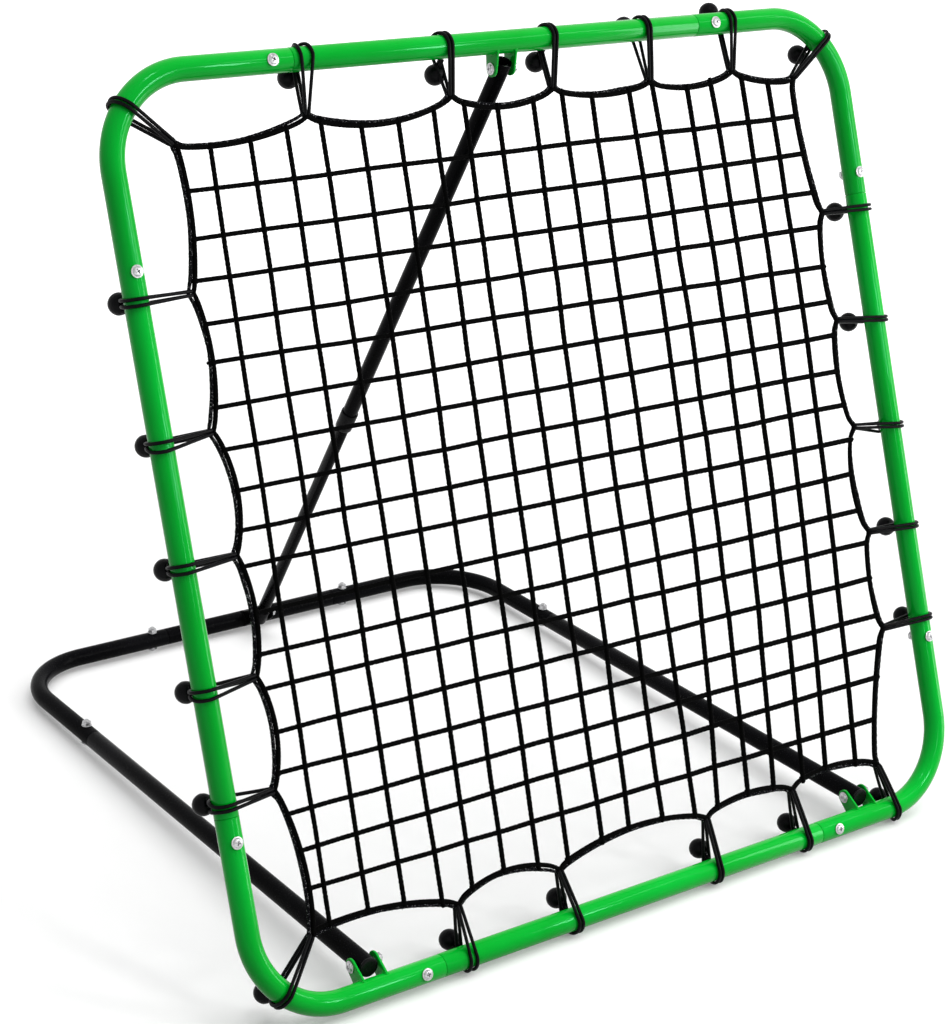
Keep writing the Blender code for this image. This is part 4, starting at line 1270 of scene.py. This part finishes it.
def thread_finish(name, colour, fleck, plies, lay, rough, share, distance, gloss, grain=1500.0):
    """Laid or plaited cord: fine yarns that run round it, with paler fibres."""
    tree, shader, coords = start_finish(name)
    uv = add_node(tree, "ShaderNodeUVMap", uv_map="UVMap").outputs[0]
    around, along, _ = add_node(tree, "ShaderNodeSeparateXYZ", {"Vector": uv}).outputs
    heights = []
    for sign in (1, -1):
        turns = calculate(tree, "MULTIPLY", around, plies * sign * tau)
        runs = calculate(tree, "MULTIPLY", along, tau / lay)
        heights.append(calculate(tree, "SINE", calculate(tree, "ADD", turns, runs)))
    yarn = calculate(tree, "MAXIMUM", *heights)
    fibre = noise(tree, coords, grain, detail=4.0, roughness=0.7)
    mixed = blend(tree, ramp(tree, fibre, *FIBRE_RANGE, 0.0, share), colour, fleck)
    skin = bump(tree, ramp(tree, yarn, -1.0, 1.0, 0.0, 1.0), distance, strength=0.8)
    skin = bump(tree, fibre, distance * 0.7, strength=0.6, under=skin)
    set_surface(tree, shader, mixed, fibre, rough, skin, Specular_IOR_Level=gloss)


def zinc_finish():
    tree, shader, coords = start_finish("zinc_plate")
    patch = noise(tree, coords, scale=420.0, detail=4.0, roughness=0.6)
    grain = noise(tree, coords, scale=2600.0, detail=2.0)
    dark, light = (0.34, 0.34, 0.35), (0.60, 0.60, 0.61)
    colour = blend(tree, ramp(tree, patch, *CLOUD_RANGE, 0.0, 1.0), dark, light)
    skin = bump(tree, grain, 0.00006, strength=0.35)
    set_surface(tree, shader, colour, patch, (0.26, 0.44), skin, Metallic=1.0)


def plastic_finish():
    tree, shader, coords = start_finish("black_plastic")
    grain = noise(tree, coords, scale=1400.0)
    colour = blend(tree, grain, (0.001, 0.001, 0.001), (0.006, 0.006, 0.007))
    skin = bump(tree, grain, 0.00006, strength=0.25)
    set_surface(tree, shader, colour, grain, (0.22, 0.36), skin, Specular_IOR_Level=0.1)


def make_finishes():
    coat_finish(
        "green_powder_coat", (0.0, 0.425, 0.022), (0.0, 0.490, 0.032),
        rough=(0.05, 0.17), peel=0.10, speckle=0.06, gloss=0.20, tint=(0.28, 0.92, 0.6, 1),
    )
    coat_finish(
        "black_powder_coat", (0.0008, 0.0008, 0.0010), (0.0035, 0.0035, 0.0045),
        rough=(0.19, 0.31), peel=0.50, speckle=0.75, gloss=0.025,
    )
    zinc_finish()
    plastic_finish()
    thread_finish(
        "net_cord", (0.0006, 0.0006, 0.0006), (0.004, 0.004, 0.004),
        plies=2, lay=0.0040, rough=(0.72, 0.88), share=0.4, distance=0.0003, gloss=0.03,
    )
    thread_finish(
        "border_rope", (0.002, 0.002, 0.003), (0.60, 0.60, 0.62),
        plies=6, lay=0.0060, rough=(0.77, 0.93), share=0.9, distance=0.0005, gloss=0.05,
        grain=520.0,
    )
    thread_finish(
        "bungee_rubber", (0.0005, 0.0005, 0.0010), (0.004, 0.004, 0.006),
        plies=8, lay=0.0034, rough=(0.30, 0.46), share=0.4, distance=0.00015, gloss=0.07,
    )


def ray_share(tree):
    """One for rays that see the stage: from the camera, or off or through a surface."""
    path = add_node(tree, "ShaderNodeLightPath").outputs
    seen = calculate(tree, "MAXIMUM", path["Is Camera Ray"], path["Is Glossy Ray"])
    return calculate(tree, "MAXIMUM", seen, path["Is Transmission Ray"])


def make_floor():
    """A white floor that throws less light back up at the object than the eye sees on it."""
    mesh = bpy.data.meshes.new("floor")
    square = ((-1, -1), (1, -1), (1, 1), (-1, 1))
    points = [(x * FLOOR_HALF, y * FLOOR_HALF, FLOOR_HEIGHT) for x, y in square]
    mesh.from_pydata(points, [], [(0, 1, 2, 3)])
    floor = placed("floor", mesh)
    tree, shader, coords = start_finish("floor_white")
    seen = ray_share(tree)
    away = add_node(tree, "ShaderNodeVectorMath", {0: coords}, operation="LENGTH").outputs["Value"]
    glow = ramp(tree, away, *FLOOR_GLOW_REACH, *FLOOR_GLOW)
    colour = blend(tree, seen, FLOOR_THROWS, FLOOR_SEEN)
    set_inputs(tree, shader, Base_Color=colour, Roughness=0.9, Specular_IOR_Level=0.1,
               Emission_Strength=calculate(tree, "MULTIPLY", seen, glow),
               Emission_Color=(1, 1, 1, 1))
    mesh.materials.append(bpy.data.materials["floor_white"])


def make_world():
    world = bpy.data.worlds.new("studio")
    bpy.context.scene.world = world
    world.use_nodes = True
    tree = world.node_tree
    background = tree.nodes["Background"]
    background.inputs["Color"].default_value = (1, 1, 1, 1)
    seen = ramp(tree, ray_share(tree), 0.0, 1.0, UNSEEN_WORLD, 1.0)
    tree.links.new(seen, background.inputs["Strength"])


def make_lights():
    towards, angle, strength = SUN
    data = bpy.data.lights.new("top", "SUN")
    data.angle, data.energy = radians(angle), strength * pi
    lamp = placed("top", data)
    lamp.rotation_euler = Vector(towards).to_track_quat("Z", "Y").to_euler()
    lamp.visible_glossy = False
    for name, (place, target, width, height, radiance) in PANELS.items():
        data = bpy.data.lights.new(name, "AREA")
        data.shape = "RECTANGLE"
        data.size, data.size_y = width, height
        data.energy = radiance * pi * width * height
        lamp = placed(name, data)
        lamp.location = place
        lamp.rotation_euler = (Vector(target) - Vector(place)).to_track_quat("-Z", "Y").to_euler()


def make_camera():
    data = bpy.data.cameras.new("camera")
    data.lens = FOCAL_SHARE * FILM
    data.sensor_width = FILM
    data.shift_x, data.shift_y = CAMERA_SHIFT
    camera = placed("camera", data)
    forward = Vector(CAMERA_WAY).normalized()
    level_right = forward.cross(Z_AXIS).normalized()
    level_up = level_right.cross(forward)
    right = level_right * cos(CAMERA_ROLL) - level_up * sin(CAMERA_ROLL)
    up = right.cross(forward)
    turn = Matrix((right, up, -forward)).transposed().to_4x4()
    camera.matrix_world = moved(*CAMERA_PLACE) @ turn
    bpy.context.scene.camera = camera


def main():
    make_finishes()
    make_front_frame()
    make_base()
    make_strut()
    found = hooks()
    for bungee in found:
        make_bungee(bungee)
    make_rope(found)
    make_net(found)
    make_floor()
    make_world()
    make_lights()
    make_camera()
    bpy.context.scene.view_settings.view_transform = "Standard"


main()
